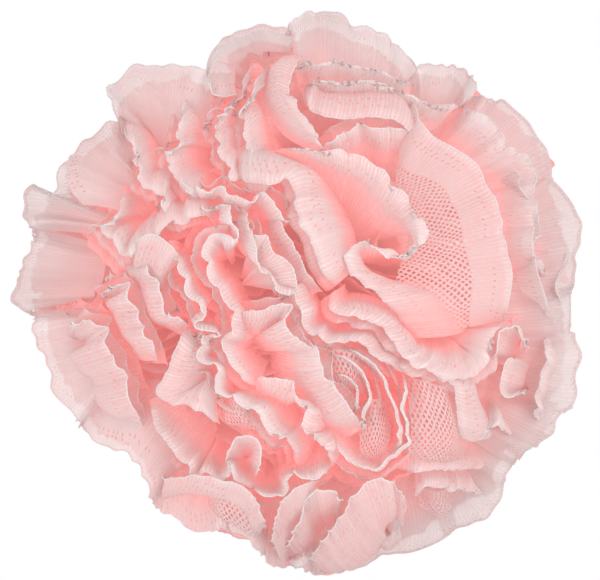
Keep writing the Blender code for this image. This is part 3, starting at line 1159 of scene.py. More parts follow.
@dataclass(frozen=True)
class LacePattern:
    """How the lace is knitted, in millimetres along the free edge and inward from it.

    Args:
        stitch_width, stitch_length: one stitch; a rib is one stitch wide.
        course_length, course_share: the cross rows, and how they stand out beside the ribs.
        rib_drift: how far the fine noise moves the ribs, in radians.
        loose_range, loose_least: which of the stitches are loose, and how full the loosest is.
        eyelet_rows: distances of the eyelet rows from the free edge.
        eyelet_pitch, eyelet_group: distance between eyelets, and the length of a group of them.
        eyelet_seeds: what sets the groups of each row apart.
        eyelet_share: how many of the groups there are.
        eyelet_slant: how far a slit leans.
        slit_width, slit_length: half of a slit's width, as a share of the pitch, and half its length.
        slit_edge: where a slit's edge begins and ends.
        net_width, net_length, net_drift: the cells of the open net, and how much they waver.
        strand_edge: where a strand of the net begins and ends, from the middle of its cell.
    """

    stitch_width: float = 0.95
    stitch_length: float = 1.30
    course_length: float = 0.62
    course_share: float = 0.55
    rib_drift: float = 1.6
    loose_range: tuple[float, float] = (0.05, 0.45)
    loose_least: float = 0.35
    eyelet_rows: tuple[float, ...] = (2.9, 4.2, 5.6)
    eyelet_pitch: float = 1.5
    eyelet_group: float = 6.0
    eyelet_seeds: tuple[float, ...] = (0.0, 0.01, 37.0)
    eyelet_share: float = 0.42
    eyelet_slant: float = 0.22
    slit_width: float = 0.12
    slit_length: float = 0.55
    slit_edge: tuple[float, float] = (0.5, 1.3)
    net_width: float = 1.45
    net_length: float = 2.3
    net_drift: float = 1.6
    strand_edge: tuple[float, float] = (0.22, 0.34)

    def threads(self, table: NodeTable, along: Socket, inward: Socket, fine: Socket) -> Socket:
        """Adds the ribs and cross rows of the knit, with its looser stitches.

        Args:
            table: the material's nodes.
            along, inward: lace coordinates.
            fine: the fine noise.

        Returns:
            1 on a thread and 0 between the threads.
        """
        drift = table.maths("MULTIPLY", fine, self.rib_drift)
        turned_along = table.maths("MULTIPLY", along, 2 * math.pi / self.stitch_width)
        ribs = table.wave(table.maths("ADD", turned_along, drift))
        courses = table.wave(table.maths("MULTIPLY", inward, 2 * math.pi / self.course_length))
        threads = table.maths("MAXIMUM", ribs, table.maths("MULTIPLY", courses, self.course_share))
        return table.maths("MULTIPLY", threads, self.stitches(table, along, inward))

    def stitches(self, table: NodeTable, along: Socket, inward: Socket) -> Socket:
        """Adds the looser stitches of the knit.

        Args:
            table: the material's nodes.
            along, inward: lace coordinates.

        Returns:
            1 on full stitches and less on the looser ones.
        """
        cell = table.add("ShaderNodeCombineXYZ")
        for k, (distance, step) in enumerate(((along, self.stitch_width), (inward, self.stitch_length))):
            table.link(table.maths("FLOOR", table.maths("DIVIDE", distance, step)), cell.inputs[k])
        toss = table.add("ShaderNodeTexWhiteNoise", noise_dimensions="2D")
        table.link(cell.outputs[0], toss.inputs["Vector"])
        return table.ramp(toss.outputs["Value"], *self.loose_range, self.loose_least, 1.0)

    def eyelets(self, table: NodeTable, along: Socket, inward: Socket) -> Socket:
        """Adds the groups of eyelets.

        Args:
            table: the material's nodes.
            along, inward: lace coordinates.

        Returns:
            1 inside the little slits and 0 elsewhere.
        """
        found: Input = 0.0
        for row, (distance, seed) in enumerate(zip(self.eyelet_rows, self.eyelet_seeds)):
            shift = row / len(self.eyelet_rows)
            across = table.maths("ADD", table.maths("DIVIDE", along, self.eyelet_pitch), shift)
            group = table.maths("FLOOR", table.maths("DIVIDE", along, self.eyelet_group))
            toss = table.add("ShaderNodeTexWhiteNoise", noise_dimensions="1D")
            table.link(table.maths("ADD", group, seed), toss.inputs["W"])
            kept = table.maths("LESS_THAN", toss.outputs["Value"], self.eyelet_share)
            sideways = table.maths("SUBTRACT", table.maths("FRACT", across), 0.5)
            lengthways = table.maths("SUBTRACT", inward, distance)
            slanted = table.maths("MULTIPLY_ADD", lengthways, self.eyelet_slant, sideways)
            wide = table.maths("POWER", table.maths("DIVIDE", slanted, self.slit_width), 2.0)
            long = table.maths("POWER", table.maths("DIVIDE", lengthways, self.slit_length), 2.0)
            inside = table.ramp(table.maths("ADD", wide, long), *self.slit_edge, 1.0, 0.0)
            found = table.maths("MAXIMUM", found, table.maths("MULTIPLY", inside, kept))
        return found

    def open_net(self, table: NodeTable, along: Socket, inward: Socket, fine: Socket) -> Socket:
        """Adds the wavy net beyond the border.

        Args:
            table: the material's nodes.
            along, inward: lace coordinates.
            fine: the fine noise.

        Returns:
            How solid the fabric is: 1 in the border and on the threads of the net.
        """
        swayed = table.maths("MULTIPLY_ADD", fine, self.net_drift, along)
        across = table.maths("DIVIDE", swayed, self.net_width)
        down = table.maths("DIVIDE", inward, self.net_length)
        strands = []
        for way in (table.maths("ADD", across, down), table.maths("SUBTRACT", across, down)):
            centred = table.maths("ABSOLUTE", table.maths("SUBTRACT", table.maths("FRACT", way), 0.5))
            strands.append(table.ramp(centred, *self.strand_edge))
        border = table.maths("LESS_THAN", inward, BORDER_WIDTH_MM)
        return table.maths("MAXIMUM", table.maths("MAXIMUM", *strands), border)


@dataclass(frozen=True)
class LaceFinish:
    """Colours and fabric values of the lace.

    Args:
        name: what the finish is for.
        edge: colour of the free edge: partly the paler edge yarn, partly a painted highlight.
        body: colour of the lit border.
        mottle: the border's colour where the lace lies double or looser.
        deep: painted shade: the coral colour deep between the ruffles.
        shade: colour between the ribs of the knit.
        eyelet_painted_shade: colour of the eyelets: painted shade, the coral of the depths seen through them.
        thinness: share of the light on the yarn that it scatters through to its other side.
        openness: share of the light that passes straight between the stitches.
        painted_glow: painted light: an emission that stands in for the light that the thin walls pass on to
            each other many times over, deep between the ruffles.
        painted_glow_colour: its colour.
        painted_glow_shallow: how much of that emission is there at the outside of the ball.
        roughness: roughness of the yarn.
        root_shade_share: how deep the painted shade is at a ruffle's root from being buried alone, 0 to 1.
        root_start: how buried a point is where that begins.
        radial_shade_share: how deep the painted shade is in the inside of the ball from its place alone, 0 to
            1.
        edge_fade: where the colour of the free edge, partly a painted highlight, begins to fade and has gone,
            in millimetres.
        fine_noise, cloud_noise: how fine each noise is, and how many finer layers it has.
        mottle_range: which part of the clouds is mottled.
        clear_range, clear_least: which part of the clouds shows the ribs, and how clear they are elsewhere.
        eyelet_painted_shade_share: how strongly that painted shade shows in the eyelets.
        relief, relief_noise: how far the threads stand out, and how much the noise adds.
        bump_depth, bump_strength: height of that relief, and how strongly it shades.
        sheen, specular: sheen and mirror-like share of the yarn.
        bead_mottle: how far the bead's colour goes over to the mottled one within a loop, and from where.
        hole_share: how much of an eyelet is open.
        closed_range: how deep the open net begins to close and has closed.
        pattern: how it is knitted.
    """

    name: str
    edge: Colour = (0.878, 0.878, 0.870, 1.0)
    body: Colour = (0.825, 0.795, 0.787, 1.0)
    mottle: Colour = (0.835, 0.838, 0.832, 1.0)
    deep: Colour = (0.860, 0.470, 0.460, 1.0)
    shade: Colour = (0.850, 0.620, 0.610, 1.0)
    eyelet_painted_shade: Colour = (0.840, 0.460, 0.450, 1.0)
    thinness: float = 0.55
    openness: float = 0.0
    painted_glow: float = 0.31
    painted_glow_colour: Colour = (0.65, 0.33, 0.32, 1.0)
    painted_glow_shallow: float = 0.10
    roughness: float = 0.75
    root_shade_share: float = 0.90
    root_start: float = 0.35
    radial_shade_share: float = 0.90
    edge_fade: tuple[float, float] = (0.9, 2.8)
    fine_noise: tuple[float, float] = (260.0, 2.0)
    cloud_noise: tuple[float, float] = (46.0, 3.0)
    mottle_range: tuple[float, float] = (0.38, 0.62)
    clear_range: tuple[float, float] = (0.35, 0.65)
    clear_least: float = 0.40
    eyelet_painted_shade_share: float = 0.8
    relief: float = 0.8
    relief_noise: float = 0.4
    bump_depth: float = 0.00025
    bump_strength: float = 0.6
    sheen: float = 0.25
    specular: float = 0.3
    bead_mottle: tuple[float, float] = (0.4, 0.3)
    hole_share: float = 0.2
    closed_range: tuple[float, float] = (0.75, 0.95)
    pattern: LacePattern = LacePattern()

    def materials(self, ball: Ball) -> list[bpy.types.Material]:
        """Returns the materials of the sheets and of their beads."""
        return [self.lace(ball), self.bead(ball)]

    def lace(self, ball: Ball) -> bpy.types.Material:
        """Makes the knitted lace: a ribbed border with eyelet rows, and an open net farther from the edge.

        Args:
            ball: the ball that it fills.

        Returns:
            The material.
        """
        table = NodeTable(self.name)
        along, inward = (table.maths("MULTIPLY", length, 1000.0) for length in table.lace_place())
        place = table.place()
        depth = self.depth(table, place, ball)
        fine = table.noise(place, *self.fine_noise)
        cloud = table.noise(place, *self.cloud_noise)
        threads = self.pattern.threads(table, along, inward, fine)
        holes = self.pattern.eyelets(table, along, inward)

        colour = table.mix(table.ramp(cloud, *self.mottle_range), self.body, self.mottle)
        # Partly painted highlight: the colour pales towards the free edge.
        colour = table.mix(table.ramp(inward, *self.edge_fade, 1.0, 0.0), colour, self.edge)
        # Painted shade: the colour turns coral towards the middle of the ball and towards the roots of the
        # ruffles.
        colour = table.mix(depth, colour, self.deep)
        clarity = table.ramp(cloud, *self.clear_range, self.clear_least, 1.0)
        gaps = table.maths("MULTIPLY", table.maths("SUBTRACT", 1.0, threads), clarity)
        colour = table.mix(gaps, colour, self.shade)
        # Painted shade: the eyelets take the coral of the depths seen through them.
        colour = table.mix(table.maths("MULTIPLY", holes, self.eyelet_painted_shade_share), colour, self.eyelet_painted_shade)

        bump = table.add("ShaderNodeBump")
        bump.inputs["Distance"].default_value = self.bump_depth
        bump.inputs["Strength"].default_value = self.bump_strength
        noise = table.maths("MULTIPLY", fine, self.relief_noise)
        table.link(table.maths("MULTIPLY_ADD", threads, self.relief, noise), bump.inputs["Height"])
        yarn = table.add("ShaderNodeBsdfPrincipled")
        yarn.inputs["Sheen Weight"].default_value = self.sheen
        yarn.inputs["Specular IOR Level"].default_value = self.specular
        table.link(bump.outputs[0], yarn.inputs["Normal"])
        cloth = self.thin_cloth_with_painted_glow(table, yarn, colour, depth)
        if self.openness == 0:
            return table.finished(cloth)

        net = self.pattern.open_net(table, along, inward, fine)
        net = table.maths("MAXIMUM", net, table.ramp(depth, *self.closed_range))
        solid = table.maths("MULTIPLY", table.maths("MULTIPLY_ADD", holes, -self.hole_share, 1.0), net)
        solid = table.maths("MULTIPLY", solid, 1.0 - self.openness)
        clear = table.add("ShaderNodeBsdfTransparent")
        return table.finished(table.blend(solid, clear.outputs[0], cloth))

    def bead(self, ball: Ball) -> bpy.types.Material:
        """Makes the looped yarn of the free edge, paler partly from its own colour and partly from a painted
        highlight.

        Args:
            ball: the ball that it lies on.

        Returns:
            The material.
        """
        table = NodeTable(f"{self.name} edge")
        along, _ = table.lace_place()
        loops = table.wave(table.maths("MULTIPLY", along, 2 * math.pi * 1000.0 / PICOT_PITCH_MM))
        # Partly painted highlight: the bead takes the pale colour of the free edge.
        colour = table.mix(table.maths("MULTIPLY_ADD", loops, *self.bead_mottle), self.edge, self.mottle)
        depth = self.depth(table, table.place(), ball)
        # Painted shade: the bead turns coral deep in the ball, as the lace does.
        colour = table.mix(depth, colour, self.deep)
        yarn = table.add("ShaderNodeBsdfPrincipled")
        return table.finished(self.thin_cloth_with_painted_glow(table, yarn, colour, depth))

    def depth(self, table: NodeTable, place: Socket, ball: Ball) -> Socket:
        """Measures how deep a point lies, towards the middle of the ball and under its neighbours, for the
        painted shade and the painted light.

        Args:
            table: the material's nodes.
            place: where on the object the point lies.
            ball: the ball.

        Returns:
            0 at the outside of the ball and 1 deep between its ruffles.
        """
        offset = table.add("ShaderNodeVectorMath", operation="SUBTRACT")
        table.link(place, offset.inputs[0])
        offset.inputs[1].default_value = tuple(ball.middle)
        reach = table.add("ShaderNodeVectorMath", operation="LENGTH")
        table.link(offset.outputs[0], reach.inputs[0])
        inside, outside = ball.radius * DEEP_SHARE, ball.radius * LIT_SHARE
        # Painted shade grows towards the middle of the ball and towards the buried roots.
        radial_painted_shade = table.ramp(reach.outputs["Value"], inside, outside, 1.0, 0.0)
        buried = table.add("ShaderNodeAttribute", attribute_name="buried")
        root_painted_shade = table.ramp(buried.outputs["Fac"], self.root_start, 1.0, 0.0, self.root_shade_share)
        both = table.maths("ADD", table.maths("MULTIPLY", radial_painted_shade, self.radial_shade_share), root_painted_shade)
        return table.maths("MINIMUM", both, 1.0)

    def thin_cloth_with_painted_glow(self, table: NodeTable, yarn: bpy.types.Node, colour: Socket, depth: Socket) -> Socket:
        """Lets light through a yarn, and adds painted light: an emission that stands in for the coral light
        that gathers between thin walls.

        Args:
            table: the material's nodes.
            yarn: the Principled node of the yarn.
            colour: its colour.
            depth: how deep it lies, 0 to 1; the painted emission grows with the square of it.

        Returns:
            The surface.
        """
        yarn.inputs["Roughness"].default_value = self.roughness
        table.link(colour, yarn.inputs["Base Color"])
        # Painted light: an emission, no lamp, stands in for the light that bounces between the thin walls.
        yarn.inputs["Emission Color"].default_value = self.painted_glow_colour
        squared = table.maths("POWER", depth, 2.0)
        strength = table.maths("MULTIPLY_ADD", squared, 1.0 - self.painted_glow_shallow, self.painted_glow_shallow)
        full_painted_glow = self.painted_glow / (1.0 - self.thinness)
        table.link(table.maths("MULTIPLY", strength, full_painted_glow), yarn.inputs["Emission Strength"])
        through = table.add("ShaderNodeBsdfTranslucent")
        table.link(colour, through.inputs["Color"])
        return table.blend(self.thinness, yarn.outputs[0], through.outputs[0])


# In every finish the deep colour is painted shade, and the emission is painted light.
BALL_FINISH = LaceFinish("knitted lace")
STRIP_FINISH = LaceFinish("strip lace", deep=(0.860, 0.590, 0.580, 1.0), painted_glow=0.23)
NET_FINISH = LaceFinish("open net", openness=0.10, root_shade_share=0.25)
PETAL_FINISH = LaceFinish(
    "sheer petals",
    edge=(0.875, 0.856, 0.850, 1.0),
    body=(0.870, 0.850, 0.844, 1.0),
    mottle=(0.800, 0.808, 0.804, 1.0),
    deep=(0.880, 0.785, 0.778, 1.0),
    shade=(0.800, 0.660, 0.650, 1.0),
    painted_glow=0.15,
    openness=0.20,
    root_shade_share=0.30,
)


class LaceMesh:
    """Gathers sheets into one mesh object, with lace coordinates in a UV map and a beaded free edge."""

    BEAD_SIDES = 5

    def __init__(self, name: str) -> None:
        """Starts an empty mesh.

        Args:
            name: the object's name.
        """
        self.name = name
        self.points: list[np.ndarray] = []
        self.lace: list[np.ndarray] = []
        self.buried: list[np.ndarray] = []
        self.quads: list[np.ndarray] = []
        self.slots: list[np.ndarray] = []
        self.area = 0.0
        self.length = 0.0
        self.count = 0

    def add_grid(
        self, points: np.ndarray, lace: np.ndarray, buried: np.ndarray, slot: int, closed: bool = False
    ) -> None:
        """Adds a grid of quads.

        Args:
            points: rows x columns x 3.
            lace: rows x columns x 2, in lace coordinates.
            buried: rows x columns, how deep between its neighbours each point lies, 0 to 1.
            slot: material slot.
            closed: whether the last row meets the first.
        """
        rows, columns = points.shape[:2]
        index = np.arange(rows * columns).reshape(rows, columns) + self.count
        low = index if closed else index[:-1]
        high = np.roll(index, -1, axis=0) if closed else index[1:]
        quads = np.stack([low[:, :-1], low[:, 1:], high[:, 1:], high[:, :-1]], axis=-1).reshape(-1, 4)
        self.points.append(points.reshape(-1, 3))
        self.lace.append(lace.reshape(-1, 2))
        self.buried.append(buried.reshape(-1))
        self.quads.append(quads)
        self.slots.append(np.full(len(quads), slot, dtype=np.int32))
        self.count += rows * columns

    def add_sheet(self, sheet: Sheet) -> None:
        """Adds a sheet and the knitted bead along its free edge.

        Args:
            sheet: the sheet.
        """
        along = np.broadcast_to(sheet.along[None], sheet.inward.shape)
        self.add_grid(sheet.points, np.stack([along, sheet.inward], axis=-1), sheet.buried, slot=0)
        self.add_bead(sheet)
        across = np.linalg.norm(np.diff(sheet.points, axis=1), axis=2)
        down = np.linalg.norm(np.diff(sheet.points, axis=0), axis=2)
        self.area += float((across[:-1] * down[:, :-1]).sum())
        self.length += float(sheet.along[-1])

    def add_bead(self, sheet: Sheet) -> None:
        """Adds the bead: a thin tube along the free edge whose picots lift it a little at each loop.

        Args:
            sheet: the sheet whose edge it follows.
        """
        rim = sheet.points[-1]
        outward = unit(sheet.points[-1] - sheet.points[-2])
        forward = unit(np.gradient(rim, axis=0))
        side = unit(np.cross(forward, outward))
        picot = np.abs(np.sin(np.pi * sheet.along * 1000 / PICOT_PITCH_MM))
        radius = (SELVEDGE_RADIUS_MM + 0.5 * PICOT_LIFT_MM * picot)[:, None] / 1000 * sheet.bead[:, None]
        centre = rim + outward * (PICOT_LIFT_MM * picot / 1000)[:, None]
        rings = []
        for k in range(self.BEAD_SIDES):
            angle = 2 * np.pi * k / self.BEAD_SIDES
            rings.append(centre + (side * math.cos(angle) + outward * math.sin(angle)) * radius)
        points = np.stack(rings)
        along = np.broadcast_to(sheet.along[None], points.shape[:2])
        lace = np.stack([along, np.zeros_like(along)], axis=-1)
        self.add_grid(points, lace, np.broadcast_to(sheet.buried[-1], points.shape[:2]), slot=1, closed=True)

    def to_object(self, materials: list[bpy.types.Material]) -> bpy.types.Object:
        """Makes the mesh object and links it to the scene.

        Args:
            materials: those of the sheets and of their beads.

        Returns:
            The object.
        """
        points = np.vstack(self.points)
        lace = np.vstack(self.lace)
        quads = np.vstack(self.quads)
        mesh = bpy.data.meshes.new(self.name)
        mesh.vertices.add(len(points))
        mesh.vertices.foreach_set("co", points.astype(np.float32).ravel())
        mesh.loops.add(quads.size)
        mesh.loops.foreach_set("vertex_index", quads.astype(np.int32).ravel())
        mesh.polygons.add(len(quads))
        mesh.polygons.foreach_set("loop_start", np.arange(0, quads.size, 4, dtype=np.int32))
        mesh.polygons.foreach_set("material_index", np.concatenate(self.slots))
        mesh.update(calc_edges=True)
        lace_map = mesh.uv_layers.new(name="lace")
        lace_map.data.foreach_set("uv", lace[quads.ravel()].astype(np.float32).ravel())
        # How buried each point lies; the materials turn this into painted shade.
        buried = mesh.attributes.new("buried", "FLOAT", "POINT")
        buried.data.foreach_set("value", np.concatenate(self.buried).astype(np.float32))
        for material in materials:
            mesh.materials.append(material)
        mesh.shade_smooth()
        mesh.validate()
        item = bpy.data.objects.new(self.name, mesh)
        bpy.context.scene.collection.objects.link(item)
        LOG.info("%s: %d quads, %.2f m of edge, %.4f m2", self.name, len(quads), self.length, self.area)
        return item


def turned(directions: np.ndarray, axis: np.ndarray, angles: np.ndarray) -> np.ndarray:
    """Turns directions about an axis.

    Args:
        directions: the directions.
        axis: the axis, of length one.
        angles: how far each is turned, in radians.

    Returns:
        The turned directions.
    """
    cosine = np.cos(angles)[:, None]
    sine = np.sin(angles)[:, None]
    level = (directions @ axis)[:, None]
    return directions * cosine + np.cross(axis, directions) * sine + axis * level * (1 - cosine)


@dataclass(frozen=True)
class StripLay:
    """How the one long strip lies: wound from pole to pole, swirled into folds, lobed and flat underneath.

    Args:
        width, depth, height: the ball that its free edge fills.
        foot_width: the flat spot underneath.
        pitch: distance between neighbouring turns.
        core_radius: how far from the middle its root lies.
        whorl_turn_deg, whorl_rise_deg: where its first turn faces.
        fold_sway, fold_length, fold_at_core: size of the folds, and their share at the core.
        frill_sway, frill_length, frill_growth: size of the frills, and how they grow outwards.
        folds, frills: axis, stretch and phase of each.
        lobe_depth, lobe_length: shallow lobes of the free edge.
        sags: where the ball sags between its fuller sides: turn, rise, spread and depth of each.
    """

    width: float = 0.130
    depth: float = 0.126
    height: float = 0.126
    foot_width: float = 0.050
    pitch: float = 0.0118
    core_radius: float = 0.008
    whorl_turn_deg: float = -12.0
    whorl_rise_deg: float = 32.0
    fold_sway: float = 0.017
    fold_length: float = 0.095
    fold_at_core: float = 0.3
    frill_sway: float = 0.0040
    frill_length: float = 0.026
    frill_growth: float = 1.5
    folds: tuple[tuple[tuple[float, float, float], float, float], ...] = (
        ((0.82, 0.10, 0.56), 1.00, 0.4),
        ((-0.35, 0.30, 0.89), 0.85, 2.1),
        ((0.30, 0.93, -0.20), 0.90, 4.4),
    )
    frills: tuple[tuple[tuple[float, float, float], float, float], ...] = (
        ((0.10, 0.55, 0.83), 1.00, 1.3),
        ((0.95, -0.20, 0.25), 1.15, 0.2),
    )
    lobe_depth: float = 0.0035
    lobe_length: float = 0.047
    sags: tuple[tuple[float, float, float, float], ...] = (
        (-159, -24, 24, 0.0065),
        (148, 50, 22, 0.0060),
        (51, 55, 14, 0.0035),
        (-154, 26, 13, 0.0035),
        (-20, 21, 11, 0.0030),
    )

    @property
    def mean_radius(self) -> float:
        """Mean radius of the ball."""
        return (self.width + self.depth + self.height) / 6

    @property
    def middle_height(self) -> float:
        """Height of the ball's middle over the flat spot."""
        return self.height / 2 * math.sqrt(1 - (self.foot_width / self.width) ** 2)

    def sag_depth(self, directions: np.ndarray) -> np.ndarray:
        """Measures the sags.

        Args:
            directions: directions from the middle.

        Returns:
            How far the ball sags in each.
        """
        depth = np.zeros(len(directions))
        for turn_deg, rise_deg, spread_deg, full_depth in self.sags:
            turn, rise = math.radians(turn_deg), math.radians(rise_deg)
            level = math.cos(rise)
            centre = np.array([level * math.cos(turn), level * math.sin(turn), math.sin(rise)])
            angle = np.arccos(np.clip(directions @ centre, -1, 1))
            depth += full_depth * np.exp(-((angle / math.radians(spread_deg)) ** 2))
        return depth

    def wound(self, count: int, swing: float) -> np.ndarray:
        """Winds the strip from one pole of the ball to the other.

        Args:
            count: how many directions to give.
            swing: how far the whole winding is turned about its poles, in radians.

        Returns:
            Directions along the strip.
        """
        pitch_angle = self.pitch / self.mean_radius
        pole_gap = pitch_angle / 2 if swing == 0 else 0
        colatitude = np.arccos(math.cos(pole_gap) * (1 - 2 * np.linspace(0, 1, count)))
        turn = 2 * np.pi * colatitude / pitch_angle + swing
        ring = np.sin(colatitude)
        plain = np.stack([ring * np.cos(turn), ring * np.sin(turn), np.cos(colatitude)], axis=1)
        tilt = math.radians(90 - self.whorl_rise_deg)
        spin = math.radians(self.whorl_turn_deg)
        tip = np.array([[1, 0, 0], [0, math.cos(tilt), -math.sin(tilt)], [0, math.sin(tilt), math.cos(tilt)]])
        yaw = np.array([[math.cos(spin), -math.sin(spin), 0], [math.sin(spin), math.cos(spin), 0], [0, 0, 1]])
        return plain @ (yaw @ tip).T

    def swayed(self, directions: np.ndarray, reach: float) -> np.ndarray:
        """Swirls the strip into its folds and frills.

        Args:
            directions: directions along the strip as it is wound.
            reach: 0 on the core and 1 on the free edge.

        Returns:
            Where the strip points to at that reach.
        """
        fold_sway = self.fold_sway * (self.fold_at_core + (1 - self.fold_at_core) * reach)
        frill_sway = self.frill_sway * reach**self.frill_growth
        waves = [(fold, fold_sway, self.fold_length) for fold in self.folds]
        waves += [(frill, frill_sway, self.frill_length) for frill in self.frills]
        for (axis, stretch, phase), sway, length in waves:
            axis = unit(np.array(axis))
            wave = 2 * np.pi * self.mean_radius / (length * stretch)
            angles = sway / self.mean_radius * np.sin(wave * (directions @ axis) + phase)
            directions = turned(directions, axis, angles)
        return directions

    def edge_radius(self, directions: np.ndarray, along: np.ndarray) -> np.ndarray:
        """Measures the free edge, with its lobes and the flattened underside.

        Args:
            directions: where the free edge points to.
            along: its arc lengths.

        Returns:
            How far it stands from the middle.
        """
        scaled = directions / np.array([self.width, self.depth, self.height])
        dip = (1 - np.sin(2 * np.pi * along / self.lobe_length)) / 2
        radius = 1 / (2 * np.linalg.norm(scaled, axis=1)) - self.lobe_depth * dip - self.sag_depth(directions)
        floor = self.middle_height / np.maximum(-directions[:, 2], 1e-6)
        return np.where(directions[:, 2] < 0, np.minimum(radius, floor), radius)


@dataclass(frozen=True)
class WoundStrip:
    """A sheet of the long strip, wound all round the ball.

    Args:
        name: the piece's name.
        swing: how far the winding is turned about its poles, in radians.
        reach: how far its free edge reaches, as a share of the edge radius.
        front: the same on the camera's side, where it lies under the photographed ruffles.
        seed: sets its ripples.
        finish: its finish.
        lay: how it lies.
        rows: where its rows lie, from near its root to its free edge.
        front_start, front_span: from where on the ball counts as the camera's side, and how soon in full.
        front_calm, front_bead: how much lower its ripples and how much thinner its bead are there.
        outline_cover: how far it reaches towards the outline of the petals in front of it.
    """

    name: str
    swing: float
    reach: float
    front: float
    seed: int
    finish: LaceFinish = STRIP_FINISH
    lay: StripLay = StripLay()
    rows: tuple[float, ...] = (0.15, 0.40, 0.60, 0.74, 0.85, 0.93, 1.0)
    front_start: float = 0.05
    front_span: float = 0.25
    front_calm: float = 0.8
    front_bead: float = 0.9
    outline_cover: float = 0.940

    def build(self, view: PhotoView) -> LaceMesh:
        """Gathers the piece's one sheet.

        Args:
            view: the camera's view.

        Returns:
            The mesh.
        """
        mesh = LaceMesh(self.name)
        mesh.add_sheet(self.sheet(view))
        return mesh

    def spaced(self) -> np.ndarray:
        """Spaces the columns evenly along the free edge.

        Returns:
            The direction of each column as it is wound.
        """
        count = int(8 * np.pi * self.lay.mean_radius**2 / self.lay.pitch / COLUMN_SPACING)
        base = self.lay.wound(count, self.swing)
        gone = arc_lengths(self.lay.swayed(base, 1.0) * self.lay.mean_radius)
        shares = np.interp(np.linspace(0, gone[-1], int(gone[-1] / COLUMN_SPACING)), gone, np.arange(count))
        return unit(np.stack([np.interp(shares, np.arange(count), base[:, k]) for k in range(3)], axis=1))

    def sheet(self, view: PhotoView) -> Sheet:
        """Builds the strip as one sheet.

        Args:
            view: the camera's view.

        Returns:
            The sheet.
        """
        base = self.spaced()
        outer = self.lay.swayed(base, 1.0)
        along = arc_lengths(outer * self.lay.mean_radius)
        facing = np.clip((outer @ view.toward - self.front_start) / self.front_span, 0, 1)
        covered = facing * facing * (3 - 2 * facing)
        edge = self.lay.edge_radius(outer, along) * (self.reach + (self.front - self.reach) * covered)
        outline = np.array([pixel for ruffle in OUTLINE_RUFFLES for pixel in ruffle.rim])
        edge = edge * view.inside_outline(outer * edge[:, None] / self.outline_cover, outline)
        rows = []
        for step in self.rows:
            radius = self.lay.core_radius + step * (edge - self.lay.core_radius)
            rows.append(self.lay.swayed(base, step) * radius[:, None])
        points = frilled(np.stack(rows), along, ROUND_FRILLS, self.seed, calm=1 - self.front_calm * covered)
        # The bead hangs down by its thickest radius and by its lift.
        lowest = (SELVEDGE_RADIUS_MM + 1.5 * PICOT_LIFT_MM) / 1000 - self.lay.middle_height
        points[..., 2] = np.maximum(points[..., 2], lowest)
        sheet = finished_sheet(points + view.ball.middle)
        sheet.bead = np.clip(1 - self.front_bead * covered, 0.1, 1)
        return sheet


